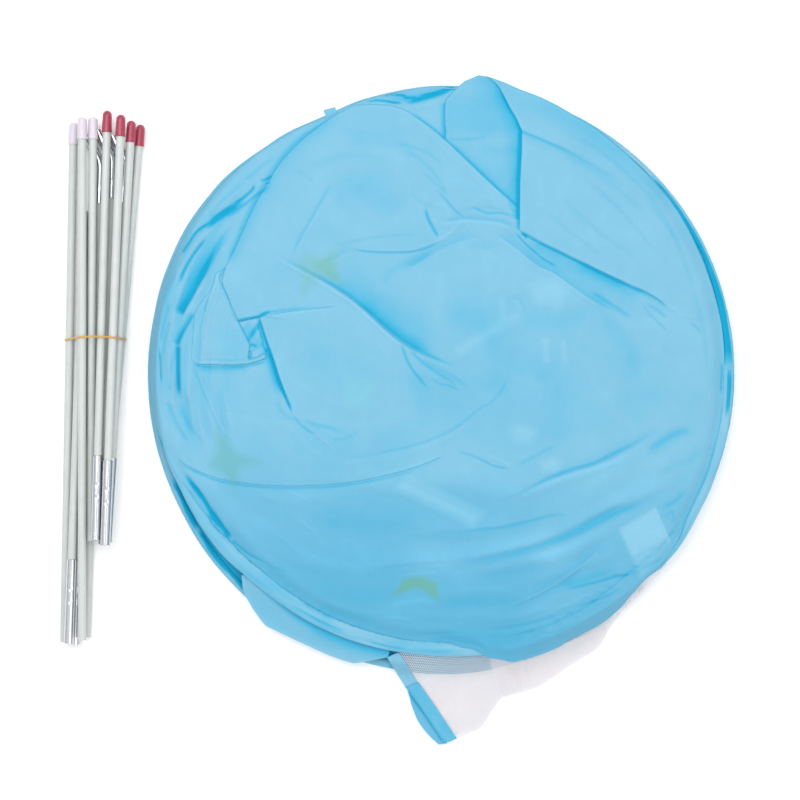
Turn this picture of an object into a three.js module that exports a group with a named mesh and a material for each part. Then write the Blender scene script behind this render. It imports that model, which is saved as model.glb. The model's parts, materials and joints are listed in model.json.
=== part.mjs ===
// Packed pop-up play tent with its bundle of poles, lying flat.
// Units mm, +Z up. The kit rests on z = 0, and x = y = 0 is the middle of its outline.
import * as THREE from 'three';
import { mergeVertices } from 'three/addons/utils/BufferGeometryUtils.js';

// ---------------------------------------------------------------- driving dimensions
const SHIFT_X = -1.144, SHIFT_Y = -5.485; // moves the layout so that the whole kit's box is centred on the origin

// the layout grid that outlines are drawn on, as seen from straight above at EYE height
const GRID = 0.963, GRID_CX = 397, GRID_CY = 410, EYE = 2139, EYE_X = 2.89, EYE_Y = 9.63;

// poles
const ROD_R = 3.95, ROD_SIDES = 12; // 7.9 mm (5/16 in) fibreglass rod
const CAP_R = 4.9, CAP_BORE = 4.25, CAP_L = 20, CAP_TOP = 1.1; // soft vinyl end cap
const FERRULE_R = 4.8, FERRULE_BORE = 4.25, FERRULE_L = 80; // steel joining tube
const ELBOW_BEND = (28 * Math.PI) / 180, ELBOW_GRIP = 20, ELBOW_STRAIGHT = 33, ELBOW_KNEE = 5, ELBOW_LEG = 25;
// each rod: its top end, its bottom end, and what is on it
const RODS = {
  white_long_pole_1: [[-310.70, 274.80, 5.00], [-319.63, -222.87, 5.00], 'white'],
  white_long_pole_2: [[-300.32, 278.11, 19.80], [-300.52, -219.36, 19.70], 'white'],
  white_short_pole: [[-290.68, 278.72, 15.00], [-293.25, -125.28, 13.70], 'white'],
  red_pole_1: [[-276.84, 284.96, 15.50], [-286.04, -123.30, 30.00], 'red'],
  red_pole_2: [[-262.87, 280.16, 23.20], [-276.56, -127.77, 34.20], 'red'],
  red_pole_3: [[-253.89, 275.49, 14.80], [-275.61, -125.58, 24.10], 'red'],
  red_pole_4: [[-246.23, 272.88, 5.00], [-280.84, -128.12, 14.20], 'red'],
  elbow_pole_1: [[-286.01, 198.90, 5.00], [-297.83, -218.07, 5.00], 'elbow'],
  elbow_pole_2: [[-274.58, 203.70, 5.00], [-282.17, -125.84, 5.00], 'elbow'],
  elbow_pole_3: [[-262.14, 198.73, 6.90], [-287.66, -124.82, 21.00], 'elbow'],
  ferrule_pole_1: [[-299.85, 190.70, 11.00], [-313.84, -222.83, 14.20], 'ferrule'],
  ferrule_pole_2: [[-294.37, 189.29, 5.00], [-309.16, -224.60, 5.00], 'ferrule'],
};
// rubber band
const BAND_Y = 66.4, BAND_W = 1.6, BAND_T = 0.7, BAND_CLEAR = 0.3, BAND_RISE = 3.6, BAND_MID_X = -288, BAND_HALF = 34;

// packed tent: three coils of the hoop, one on another, each a little off the others' centre
const RIM_SEGMENTS = 40;
const SLEEVE_R = 5, SLEEVE_H = 4.7, SLEEVE_WALL = 0.9; // cloth sleeve: half width, half height and wall
const WIRE_W = 4, WIRE_T = 1.2; // spring-steel strip
const LOW = { u: 438, v: 381, z: 5.0, r: 276.4 };
const MID = { u: 443, v: 376, z: 15.8, r: 272.3 };
const TOP = { u: 446, v: 370, z: 26.0, r: 268.0 };
const JOINT_SEGMENT = 29, JOINT_L = 28, JOINT_R = 3.1, JOINT_BORE = 2.5; // crimped tube on the strip

// folded cloth on top of the coils: outline on the grid, underside and top height
const FOLDS = [
  ['lower_wall_fold', [[190, 446], [236, 452], [308, 456], [380, 448], [450, 428], [540, 400], [640, 372], [714, 350], [715, 400], [700, 468], [668, 530], [622, 580], [566, 616], [500, 638], [440, 641], [380, 634], [326, 612], [272, 574], [232, 530], [202, 484]], 27.2, 30.4],
  ['roof_fold', [[350, 111], [310, 136], [288, 157], [276, 176], [259, 204], [241, 240], [229, 274], [214, 300], [196, 345], [186, 400], [186, 461], [235, 480], [308, 485], [377, 477], [450, 457], [560, 415], [640, 390], [708, 378], [714, 330], [700, 264], [668, 207], [625, 158], [575, 124], [520, 105], [480, 98], [440, 98], [395, 101]], 31.0, 33.4],
  ['left_corner_fold', [[223, 270], [206, 304], [200, 361], [231, 364], [263, 359], [261, 332], [259, 316], [300, 309], [337, 301], [308, 284], [262, 262]], 33.8, 35.6],
  ['centre_fold', [[262, 249], [308, 274], [348, 297], [387, 327], [416, 350], [452, 332], [482, 290], [500, 240], [440, 222], [380, 196], [318, 186], [282, 204]], 33.8, 36.0],
  ['top_wedge_fold', [[444, 103], [487, 96], [504, 100], [520, 129], [521, 179], [518, 226], [515, 206], [480, 171], [445, 139]], 33.8, 35.8],
  ['right_fold', [[526, 238], [563, 254], [598, 274], [638, 289], [664, 306], [654, 256], [620, 200], [578, 158], [530, 132], [527, 180]], 33.8, 36.0],
];

// mesh window hanging out past the rim
const SKIRT = [
  ...Array.from({ length: 9 }, (_, i) => {
    const a = ((84 - (43 * i) / 8) * Math.PI) / 180;
    return [LOW.u + 294.6 * Math.cos(a), LOW.v + 294.6 * Math.sin(a)];
  }),
  [642, 598], [626, 613.5], [609, 632], [596, 650], [568, 669], [551, 677], [470, 677],
];
const FLAP = [[549, 680.2], [532, 690], [501, 697], [488, 716], [480, 727], [457.6, 738.4], [426.6, 690], [420.6, 680.2]];
const BINDING = [[404.5, 680.2], [409, 692], [412, 706], [416, 718], [428, 736], [439, 745], [456, 739], [455, 737.2], [424.6, 690.6], [418.6, 680.2]];

// colours and finish
const LOOK = {
  cloth: { color: 0x7fc9ec, roughness: 0.75, metalness: 0 },
  mesh: { color: 0xefecef, roughness: 0.85, metalness: 0 },
  webbing: { color: 0x9fd6ef, roughness: 0.8, metalness: 0 },
  star_print: { color: 0xc9dd4a, roughness: 0.7, metalness: 0 },
  fibreglass: { color: 0xd5dcdb, roughness: 0.45, metalness: 0 },
  white_vinyl: { color: 0xe8e6ea, roughness: 0.5, metalness: 0 },
  red_vinyl: { color: 0xc4465f, roughness: 0.4, metalness: 0 },
  metal: { color: 0xd9dde0, roughness: 0.2, metalness: 1 },
  spring_steel: { color: 0xa9adb2, roughness: 0.35, metalness: 1 },
  rubber: { color: 0xe3b23a, roughness: 0.6, metalness: 0 },
};

// ---------------------------------------------------------------- helpers
const group = new THREE.Group();
group.name = 'packed_pop_up_tent_kit';
group.position.set(-SHIFT_X, -SHIFT_Y, 0);

// layout grid point (u to the right, v down) at height z, in mm
function at(u, v, z = 0) {
  const k = 1 - z / EYE;
  const x = (u - GRID_CX) * GRID, y = (GRID_CY - v) * GRID;
  return [EYE_X + (x - EYE_X) * k, EYE_Y + (y - EYE_Y) * k];
}
function add(name, geometry, kind) {
  const m = new THREE.Mesh(geometry, new THREE.MeshStandardMaterial(LOOK[kind]));
  m.name = name;
  group.add(m);
  return m;
}
// a lathed closed ring or cap laid along the line from a to b, the profile as [radius, along]
function along(a, b, profile, sides) {
  const pts = profile.map(([r, y]) => new THREE.Vector2(r, y));
  const g = new THREE.LatheGeometry(pts, sides);
  const va = new THREE.Vector3(...a), vb = new THREE.Vector3(...b);
  const d = vb.clone().sub(va).normalize();
  const q = new THREE.Quaternion().setFromUnitVectors(new THREE.Vector3(0, 1, 0), d);
  g.applyQuaternion(q);
  g.translate(a[0], a[1], a[2]);
  return closed(g);
}
// merged vertices and faces that point out
function closed(g) {
  const h = g.clone();
  h.deleteAttribute('normal');
  if (h.getAttribute('uv')) h.deleteAttribute('uv');
  let m = mergeVertices(h, 1e-4);
  const p = m.getAttribute('position'), idx = Array.from(m.getIndex().array), keep = [];
  let vol = 0;
  for (let i = 0; i < idx.length; i += 3) {
    const [a, b, c] = [idx[i], idx[i + 1], idx[i + 2]];
    if (a === b || b === c || a === c) continue;
    keep.push(a, b, c);
    const A = new THREE.Vector3().fromBufferAttribute(p, a), B = new THREE.Vector3().fromBufferAttribute(p, b), C = new THREE.Vector3().fromBufferAttribute(p, c);
    vol += A.dot(B.cross(C)) / 6;
  }
  if (vol < 0) for (let i = 0; i < keep.length; i += 3) [keep[i + 1], keep[i + 2]] = [keep[i + 2], keep[i + 1]];
  m.setIndex(keep);
  m.computeVertexNormals();
  return m;
}
const lerp = (a, b, t) => a.map((v, i) => v + (b[i] - v) * t);
function onLine(a, b, dist) {
  const L = Math.hypot(b[0] - a[0], b[1] - a[1], b[2] - a[2]);
  return lerp(a, b, dist / L);
}
const lengthOf = (a, b) => Math.hypot(b[0] - a[0], b[1] - a[1], b[2] - a[2]);

// a cloth slab: outline in grid points, from z0 to z1, with softened edges
function slab(outline, z0, z1, soft = 0.8, zRef = z1, smooth = false) {
  let pts = outline.map(([u, v]) => new THREE.Vector2(...at(u, v, zRef)));
  const s = new THREE.Shape();
  if (smooth) {
    const c = new THREE.SplineCurve([...pts, pts[0]]);
    pts = c.getPoints(smooth);
    pts.pop();
  }
  if (THREE.ShapeUtils.area(pts) < 0) pts.reverse();
  s.setFromPoints(pts);
  const g = new THREE.ExtrudeGeometry(s, {
    depth: z1 - z0 - 2 * soft, bevelEnabled: true, bevelThickness: soft, bevelSize: soft, bevelOffset: -soft, bevelSegments: 1, steps: 1, curveSegments: 1,
  });
  g.translate(0, 0, z0 + soft);
  return closed(g);
}
function ringPoints(cu, cv, r, zRef, n = RIM_SEGMENTS) {
  const [x, y] = at(cu, cv, zRef);
  return Array.from({ length: n }, (_, i) => {
    const a = (2 * Math.PI * i) / n;
    return new THREE.Vector2(x + r * Math.cos(a), y + r * Math.sin(a));
  });
}
function disc(cu, cv, r, z0, z1, soft = 1.2) {
  const s = new THREE.Shape();
  s.setFromPoints(ringPoints(cu, cv, r, (z0 + z1) / 2));
  const g = new THREE.ExtrudeGeometry(s, { depth: z1 - z0 - 2 * soft, bevelEnabled: true, bevelThickness: soft, bevelSize: soft, bevelOffset: -soft, bevelSegments: 1, steps: 1 });
  g.translate(0, 0, z0 + soft);
  return closed(g);
}
// a ring lathed round the vertical axis through a grid point
function ring(cu, cv, z, profile) {
  const pts = profile.map(([r, h]) => new THREE.Vector2(r, h));
  const g = new THREE.LatheGeometry(pts, RIM_SEGMENTS);
  g.rotateX(Math.PI / 2);
  const [x, y] = at(cu, cv, z);
  g.translate(x, y, z);
  return closed(g);
}
// cloth sleeve round the hoop wire: a C section that is open to the inside of the ring
function sleeveProfile(R, half) {
  const n = 6, out = [], inn = [], gap = 0.42;
  for (let i = 0; i <= n; i++) {
    const a = Math.PI - gap - (i / n) * (2 * Math.PI - 2 * gap);
    out.push([R + SLEEVE_R * Math.cos(a), half * Math.sin(a)]);
    inn.push([R + (SLEEVE_R - SLEEVE_WALL) * Math.cos(a), (half - SLEEVE_WALL) * Math.sin(a)]);
  }
  const p = [...out, ...inn.reverse()];
  p.push(p[0]);
  return p;
}
function stripProfile(R) {
  const w = WIRE_T / 2, h = WIRE_W / 2;
  return [[R - w, -h], [R + w, -h], [R + w, h], [R - w, h], [R - w, -h]];
}

// ---------------------------------------------------------------- pole bundle
const rodShape = (L) => [[0, 0], [ROD_R, 0], [ROD_R, L], [0, L]];
const capShape = () => [[0, -0.5 - CAP_TOP], [CAP_R - 1.2, -0.5 - CAP_TOP], [CAP_R, -0.5 - CAP_TOP + 1.2], [CAP_R, CAP_L - 1], [CAP_R - 0.25, CAP_L - 0.5], [CAP_BORE, CAP_L - 0.5], [CAP_BORE, -0.5], [0, -0.5]];
const ferruleShape = () => [[FERRULE_BORE, 0], [FERRULE_R, 0], [FERRULE_R, FERRULE_L / 2 - 3], [FERRULE_R - 0.3, FERRULE_L / 2], [FERRULE_R, FERRULE_L / 2 + 3], [FERRULE_R, FERRULE_L], [FERRULE_BORE, FERRULE_L], [FERRULE_BORE, 0]];

function cappedRod(name, top, bottom, colour) {
  // the cap closes over the rod's top end
  const L = lengthOf(top, bottom);
  const a = onLine(top, bottom, 1.5);
  add(`${name}_rod`, along(a, bottom, rodShape(L - 1.5), ROD_SIDES), 'fibreglass');
  add(`${name}_end_cap`, along(a, bottom, capShape(), ROD_SIDES), colour);
}
function ferruleRod(name, top, end, colour) {
  // the ferrule's lower half stays open, as the socket for the next rod
  const L = lengthOf(top, end);
  const rodEnd = onLine(top, end, L - FERRULE_L / 2);
  const ferTop = onLine(top, end, L - FERRULE_L);
  const a = colour ? onLine(top, end, 1.5) : top;
  add(`${name}_rod`, along(a, rodEnd, rodShape(lengthOf(a, rodEnd)), ROD_SIDES), 'fibreglass');
  if (colour) add(`${name}_end_cap`, along(a, end, capShape(), ROD_SIDES), colour);
  add(`${name}_ferrule`, along(ferTop, end, ferruleShape(), ROD_SIDES), 'metal');
}
function elbowRod(name, top, bottom) {
  // bent tube on the rod's top end; its free leg is the socket for a side pole
  const up = new THREE.Vector3(...top).sub(new THREE.Vector3(...bottom)).normalize();
  const T = new THREE.Vector3(...top);
  const side = new THREE.Vector3(-Math.sin(ELBOW_BEND), Math.cos(ELBOW_BEND), 0).normalize();
  const start = T.clone();
  const kneeA = T.clone().addScaledVector(up, ELBOW_STRAIGHT);
  const knee = kneeA.clone().addScaledVector(up, ELBOW_KNEE);
  const kneeB = knee.clone().addScaledVector(side, ELBOW_KNEE);
  const end = kneeB.clone().addScaledVector(side, ELBOW_LEG);
  const path = new THREE.CurvePath();
  path.add(new THREE.LineCurve3(start, kneeA));
  path.add(new THREE.QuadraticBezierCurve3(kneeA, knee, kneeB));
  path.add(new THREE.LineCurve3(kneeB, end));
  const pts = [start, lerpV(start, kneeA, 0.5), kneeA];
  const q = new THREE.QuadraticBezierCurve3(kneeA, knee, kneeB);
  for (let i = 1; i < 4; i++) pts.push(q.getPoint(i / 4));
  pts.push(kneeB, end);
  add(`${name}_elbow`, sweptTube(pts, FERRULE_R, FERRULE_BORE, ROD_SIDES), 'metal');
  const rodTop = T.clone().addScaledVector(up, ELBOW_GRIP).toArray();
  add(`${name}_rod`, along(rodTop, bottom, rodShape(lengthOf(rodTop, bottom)), ROD_SIDES), 'fibreglass');
  return { end: end.toArray(), dir: side.toArray() };
}
const lerpV = (a, b, t) => a.clone().lerp(b, t);
// a hollow tube swept along a bent path: an annular section extruded along the curve
function sweptTube(pts, ro, ri, sides) {
  const shape = new THREE.Shape(), hole = new THREE.Path();
  for (let i = 0; i < sides; i++) {
    const a = (2 * Math.PI * i) / sides, c = Math.cos(a), s = Math.sin(a);
    if (i === 0) { shape.moveTo(ro * c, ro * s); hole.moveTo(ri * c, ri * s); } else { shape.lineTo(ro * c, ro * s); hole.lineTo(ri * c, ri * s); }
  }
  shape.closePath(); hole.closePath(); shape.holes.push(hole);
  const path = new PolyCurve(pts);
  const g = new THREE.ExtrudeGeometry(shape, { steps: pts.length - 1, bevelEnabled: false, extrudePath: path, curveSegments: 1 });
  return closed(g);
}
class PolyCurve extends THREE.Curve {
  constructor(points) { super(); this.points = points; }
  getPoint(t, target = new THREE.Vector3()) {
    const n = this.points.length - 1, f = Math.min(t, 1) * n, i = Math.min(Math.floor(f + 1e-9), n - 1);
    return target.copy(this.points[i]).lerp(this.points[i + 1], f - i);
  }
  getPointAt(t, target) { return this.getPoint(t, target); }
  getTangentAt(t, target = new THREE.Vector3()) {
    const n = this.points.length - 1, i = Math.round(t * n);
    const a = this.points[Math.max(0, i - 1)], b = this.points[Math.min(n, i + 1)];
    return target.copy(b).sub(a).normalize();
  }
}

for (const [name, [top, bottom, kind]] of Object.entries(RODS)) {
  if (kind === 'white') cappedRod(name, top, bottom, 'white_vinyl');
  else if (kind === 'red') ferruleRod(name, top, bottom, 'red_vinyl');
  else if (kind === 'ferrule') ferruleRod(name, top, bottom, null);
  else elbowRod(name, top, bottom);
}

// rubber band: the outline that a taut band takes round the rods, a strip bent to a shallow arc
{
  const section = (clear) => {
    const pts = [];
    for (const [, [top, bottom]] of Object.entries(RODS)) {
      const t = (top[1] - BAND_Y) / (top[1] - bottom[1]);
      const c = lerp(top, bottom, t);
      for (let i = 0; i < 16; i++) {
        const a = (2 * Math.PI * i) / 16;
        pts.push([c[0] + (ROD_R + clear) * Math.cos(a), c[2] + (ROD_R + clear) * Math.sin(a)]);
      }
    }
    pts.sort((p, q) => p[0] - q[0] || p[1] - q[1]);
    const cross = (o, a, b) => (a[0] - o[0]) * (b[1] - o[1]) - (a[1] - o[1]) * (b[0] - o[0]);
    const half = (list) => { const h = []; for (const p of list) { while (h.length > 1 && cross(h[h.length - 2], h[h.length - 1], p) <= 0) h.pop(); h.push(p); } h.pop(); return h; };
    const hull = [...half(pts), ...half(pts.slice().reverse())];
    // even steps round the outline, so the strip bends smoothly
    const loop = hull.map(([x, z]) => new THREE.Vector2(x, z)), out = [];
    for (let i = 0; i < loop.length; i++) {
      const a = loop[i], b = loop[(i + 1) % loop.length], k = Math.max(1, Math.round(a.distanceTo(b) / 7));
      for (let j = 0; j < k; j++) out.push(a.clone().lerp(b, j / k));
    }
    return out;
  };
  const s = new THREE.Shape(), h = new THREE.Path();
  s.setFromPoints(section(BAND_CLEAR + BAND_T));
  h.setFromPoints(section(BAND_CLEAR));
  s.holes.push(h);
  const g = new THREE.ExtrudeGeometry(s, { depth: BAND_W, bevelEnabled: false, steps: 1, curveSegments: 1 });
  g.rotateX(Math.PI / 2);
  const p = g.getAttribute('position');
  const mid = BAND_MID_X;
  for (let i = 0; i < p.count; i++) {
    const x = p.getX(i), d = Math.min(1, Math.abs(x - mid) / BAND_HALF);
    p.setY(i, p.getY(i) + BAND_Y + BAND_W / 2 + BAND_RISE * (1 - d * d));
  }
  add('rubber_band', closed(g), 'rubber');
}

// ---------------------------------------------------------------- packed tent: lowest coil and floor
add('floor_panel', disc(LOW.u, LOW.v, LOW.r - SLEEVE_R - 1.2, 0, 5), 'cloth');
add('lower_hoop_wire', ring(LOW.u, LOW.v, LOW.z, stripProfile(LOW.r)), 'spring_steel');
add('lower_hoop_sleeve', ring(LOW.u, LOW.v, LOW.z, sleeveProfile(LOW.r, SLEEVE_H)), 'cloth');
add('lower_wall_panel', disc(LOW.u, LOW.v, LOW.r - SLEEVE_R - 1.2, 5.4, 10.2), 'cloth');

// middle coil
add('middle_hoop_wire', ring(MID.u, MID.v, MID.z, stripProfile(MID.r)), 'spring_steel');
add('middle_hoop_sleeve', ring(MID.u, MID.v, MID.z, sleeveProfile(MID.r, SLEEVE_H)), 'cloth');
add('middle_wall_panel', disc(MID.u, MID.v, MID.r - SLEEVE_R - 1.2, 11.3, 20.2, 1.6), 'cloth');
{
  // crimped tube that joins the wire's two ends, on a straight stretch of the strip
  const a = ((2 * Math.PI) / RIM_SEGMENTS) * (JOINT_SEGMENT + 0.5), [x, y] = at(MID.u, MID.v, MID.z);
  const r = MID.r * Math.cos(Math.PI / RIM_SEGMENTS);
  const c = [x + r * Math.cos(a), y + r * Math.sin(a)], t = [-Math.sin(a), Math.cos(a)];
  const p0 = [c[0] - t[0] * JOINT_L / 2, c[1] - t[1] * JOINT_L / 2, MID.z], p1 = [c[0] + t[0] * JOINT_L / 2, c[1] + t[1] * JOINT_L / 2, MID.z];
  add('wire_joint_tube', along(p0, p1, [[JOINT_BORE, 0], [JOINT_R, 0], [JOINT_R, JOINT_L], [JOINT_BORE, JOINT_L], [JOINT_BORE, 0]], 12), 'metal');
}

// top coil
add('upper_hoop_wire', ring(TOP.u, TOP.v, TOP.z, stripProfile(TOP.r)), 'spring_steel');
add('upper_hoop_sleeve', ring(TOP.u, TOP.v, TOP.z, sleeveProfile(TOP.r, SLEEVE_H)), 'cloth');
add('upper_wall_panel', disc(TOP.u, TOP.v, TOP.r - SLEEVE_R - 1.2, 21.4, 25.6), 'cloth');

// cloth that lies folded on the top coil, from the lowest layer up
add('star_patch_upper', starPatch(318, 275, 15, 26.0), 'star_print');
add('star_patch_lower', starPatch(416, 588, 19, 26.0), 'star_print');
add('star_patch_left', starPatch(226, 455, 16, 26.0), 'star_print');
add('strap_patch', slab([[392, 482], [402, 474], [456, 512], [447, 522]], 25.9, 26.9, 0.3, 26), 'webbing');
add('hook_loop_patch', slab([[614, 524], [648, 505], [659, 531], [631, 559]], 25.9, 26.9, 0.3, 26), 'webbing');
function starPatch(u, v, r, z) {
  const pts = [];
  for (let i = 0; i < 10; i++) {
    const a = (Math.PI * i) / 5 + 0.3, q = i % 2 ? r * 0.46 : r;
    pts.push([u + q * Math.sin(a), v - q * Math.cos(a)]);
  }
  return slab(pts, z, z + 0.6, 0.15, z);
}
for (const [name, outline, z0, z1] of FOLDS) add(name, slab(outline, z0, z1, 0.9), 'cloth');

add('rim_pull_tab', slab([[324, 110.5], [336, 105], [340, 113], [328, 119]], 31.2, 32.4, 0.3), 'webbing');

// mesh window that hangs out of the pack, and its bound edge
add('mesh_window_skirt', slab(SKIRT, 0.6, 5.0, 0.7, 3), 'mesh');
add('mesh_window_flap', slab(FLAP, 0.6, 5.0, 0.7, 3), 'mesh');
add('mesh_window_binding', slab(BINDING, 0.6, 6.4, 0.7, 3), 'cloth');

export default group;
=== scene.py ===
"""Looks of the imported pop-up play tent and its pole bundle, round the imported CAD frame."""
import json
import math

import bpy
import numpy as np
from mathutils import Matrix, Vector

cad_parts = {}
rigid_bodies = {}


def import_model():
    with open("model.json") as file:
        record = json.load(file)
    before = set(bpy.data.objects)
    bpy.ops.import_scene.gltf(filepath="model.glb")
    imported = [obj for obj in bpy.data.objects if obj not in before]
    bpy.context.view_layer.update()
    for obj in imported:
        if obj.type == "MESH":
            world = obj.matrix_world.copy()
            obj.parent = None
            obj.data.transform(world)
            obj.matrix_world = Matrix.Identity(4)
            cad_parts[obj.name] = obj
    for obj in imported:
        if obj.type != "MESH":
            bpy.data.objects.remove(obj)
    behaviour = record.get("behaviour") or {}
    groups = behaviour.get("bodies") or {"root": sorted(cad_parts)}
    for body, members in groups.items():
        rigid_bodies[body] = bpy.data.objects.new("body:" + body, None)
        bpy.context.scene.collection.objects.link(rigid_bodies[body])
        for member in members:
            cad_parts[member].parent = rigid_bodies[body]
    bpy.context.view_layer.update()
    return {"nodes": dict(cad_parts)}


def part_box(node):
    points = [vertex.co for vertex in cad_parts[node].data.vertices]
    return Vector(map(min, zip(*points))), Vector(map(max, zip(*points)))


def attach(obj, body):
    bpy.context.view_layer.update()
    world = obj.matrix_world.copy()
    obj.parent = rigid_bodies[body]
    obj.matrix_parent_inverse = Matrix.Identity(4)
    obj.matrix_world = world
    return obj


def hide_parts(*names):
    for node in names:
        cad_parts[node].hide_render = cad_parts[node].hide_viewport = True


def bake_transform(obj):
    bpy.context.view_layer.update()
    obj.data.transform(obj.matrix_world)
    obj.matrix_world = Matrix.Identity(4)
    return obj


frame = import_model()

# ------------------------------------------------------------------ layout
# grid units u (right) and v (down), 0.963 mm each, as seen from straight above
GRID, CU, CV, EYE, EX, EY, SX, SY = 0.963, 397.0, 410.0, 2139.0, 2.89, 9.63, -1.144, -5.485
PC = (442.0, 377.0)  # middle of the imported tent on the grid


def place(u, v, z):
    """Grid point and height in mm to metres in the frame."""
    u, v, z = np.broadcast_arrays(np.asarray(u, float), np.asarray(v, float), np.asarray(z, float))
    k = 1 - z / EYE
    x = EX + ((u - CU) * GRID - EX) * k - SX
    y = EY + ((CV - v) * GRID - EY) * k - SY
    return np.stack([x, y, z], -1) / 1000


# ------------------------------------------------------------------ small maths
def lattice(ix, iy, seed):
    h = (ix * 374761393 + iy * 668265263 + seed * 974634777) & 0xFFFFFFFF
    h = ((h ^ (h >> 13)) * 1274126177) & 0xFFFFFFFF
    return ((h ^ (h >> 16)) & 0xFFFF) / 32767.5 - 1


def noise(x, y, seed=0):
    x, y = np.asarray(x, float), np.asarray(y, float)
    ix, iy = np.floor(x).astype(np.int64), np.floor(y).astype(np.int64)
    fx, fy = x - ix, y - iy
    sx, sy = fx**3 * (fx * (fx * 6 - 15) + 10), fy**3 * (fy * (fy * 6 - 15) + 10)
    a, b = lattice(ix, iy, seed), lattice(ix + 1, iy, seed)
    c, d = lattice(ix, iy + 1, seed), lattice(ix + 1, iy + 1, seed)
    return (a + (b - a) * sx) * (1 - sy) + (c + (d - c) * sx) * sy


def fbm(x, y, seed=0, octaves=3):
    s, a = 0.0, 1.0
    for o in range(octaves):
        s = s + a * noise(x * 2**o + 7.3 * o, y * 2**o - 3.1 * o, seed + o)
        a *= 0.5
    return s / 1.75


def smooth(x, a, b):
    t = np.clip((np.asarray(x, float) - a) / (b - a), 0, 1)
    return t * t * (3 - 2 * t)


def curve(points, n=6, loop=False):
    """Catmull-Rom curve through the points."""
    p = np.asarray(points, float)
    if len(p) < 3:
        return p
    q = np.vstack([p[-1:], p, p[:2]]) if loop else np.vstack([2 * p[0] - p[1], p, 2 * p[-1] - p[-2]])
    out = []
    for i in range(1, len(q) - 2):
        a, b, c, d = q[i - 1], q[i], q[i + 1], q[i + 2]
        for t in np.arange(n) / n:
            out.append(0.5 * (2 * b + (c - a) * t + (2 * a - 5 * b + 4 * c - d) * t**2 + (3 * b - a - 3 * c + d) * t**3))
    if not loop:
        out.append(p[-1])
    return np.array(out)


def near(u, v, pts):
    """Signed distance to a polyline (positive on its right as one walks it on the grid) and the share of its length."""
    pts = np.asarray(pts, float)
    best, t_best, s_best = np.full(u.shape, 1e9), np.zeros(u.shape), np.ones(u.shape)
    seg = np.hypot(*(pts[1:] - pts[:-1]).T)
    run = np.concatenate([[0], np.cumsum(seg)])
    for i in range(len(pts) - 1):
        if seg[i] < 1e-9:
            continue
        d = pts[i + 1] - pts[i]
        w = np.clip(((u - pts[i, 0]) * d[0] + (v - pts[i, 1]) * d[1]) / seg[i] ** 2, 0, 1)
        qx, qy = u - (pts[i, 0] + w * d[0]), v - (pts[i, 1] + w * d[1])
        dist = np.hypot(qx, qy)
        m = dist < best
        best = np.where(m, dist, best)
        t_best = np.where(m, (run[i] + w * seg[i]) / run[-1], t_best)
        s_best = np.where(m, np.where(d[0] * qy - d[1] * qx >= 0, 1.0, -1.0), s_best)
    return best * s_best, t_best


def inside(u, v, poly):
    poly = np.asarray(poly, float)
    r = np.zeros(u.shape, bool)
    a = poly
    b = np.roll(poly, -1, 0)
    for (x0, y0), (x1, y1) in zip(a, b):
        if y0 == y1:
            continue
        m = ((y0 > v) != (y1 > v)) & (u < (x1 - x0) * (v - y0) / (y1 - y0) + x0)
        r ^= m
    return r


def snap(u, v, poly):
    """Nearest points on the closed outline."""
    poly = np.asarray(poly, float)
    best, bx, by = np.full(u.shape, 1e9), u.copy(), v.copy()
    for a, b in zip(poly, np.roll(poly, -1, 0)):
        d = b - a
        n = d @ d
        if n < 1e-12:
            continue
        w = np.clip(((u - a[0]) * d[0] + (v - a[1]) * d[1]) / n, 0, 1)
        x, y = a[0] + w * d[0], a[1] + w * d[1]
        q = np.hypot(u - x, v - y)
        m = q < best
        best, bx, by = np.where(m, q, best), np.where(m, x, bx), np.where(m, y, by)
    return bx, by


def soft_shape(u, v, poly, edge=2.0):
    x, y = snap(u, v, poly)
    d = np.hypot(u - x, v - y)
    return np.where(inside(u, v, poly), 0.5 + 0.5 * smooth(d, 0, edge), 0.5 - 0.5 * smooth(d, 0, edge))


# ------------------------------------------------------------------ meshes
def new_mesh(name, verts, faces, material=None, base_colour=None, shade=True, sharp=None):
    faces = np.asarray(faces, np.int32)
    me = bpy.data.meshes.new(name)
    me.vertices.add(len(verts))
    me.vertices.foreach_set("co", np.asarray(verts, np.float32).ravel())
    k = faces.shape[1]
    me.loops.add(faces.size)
    me.loops.foreach_set("vertex_index", faces.ravel())
    me.polygons.add(len(faces))
    me.polygons.foreach_set("loop_start", np.arange(0, faces.size, k, dtype=np.int32))
    me.polygons.foreach_set("use_smooth", np.full(len(faces), shade))
    me.update(calc_edges=True)
    me.validate()
    # the base colour per point; on the tent cloth it holds painted crease shade and painted highlights
    if base_colour is not None:
        a = me.color_attributes.new("base_colour", "FLOAT_COLOR", "POINT")
        c = np.ones((len(verts), 4), np.float32)
        c[:, :3] = base_colour
        if len(me.vertices) == len(verts):
            a.data.foreach_set("color", c.ravel())
    if sharp:
        me.set_sharp_from_angle(angle=math.radians(sharp))
    o = bpy.data.objects.new(name, me)
    bpy.context.scene.collection.objects.link(o)
    if material:
        me.materials.append(material)
    return o


def join_parts(parts):
    """Stacks (verts, faces) pairs with faces of one size."""
    vs, fs, n = [], [], 0
    for v, f in parts:
        vs.append(np.asarray(v, float))
        fs.append(np.asarray(f, np.int64) + n)
        n += len(v)
    return np.vstack(vs), np.vstack(fs)


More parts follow.
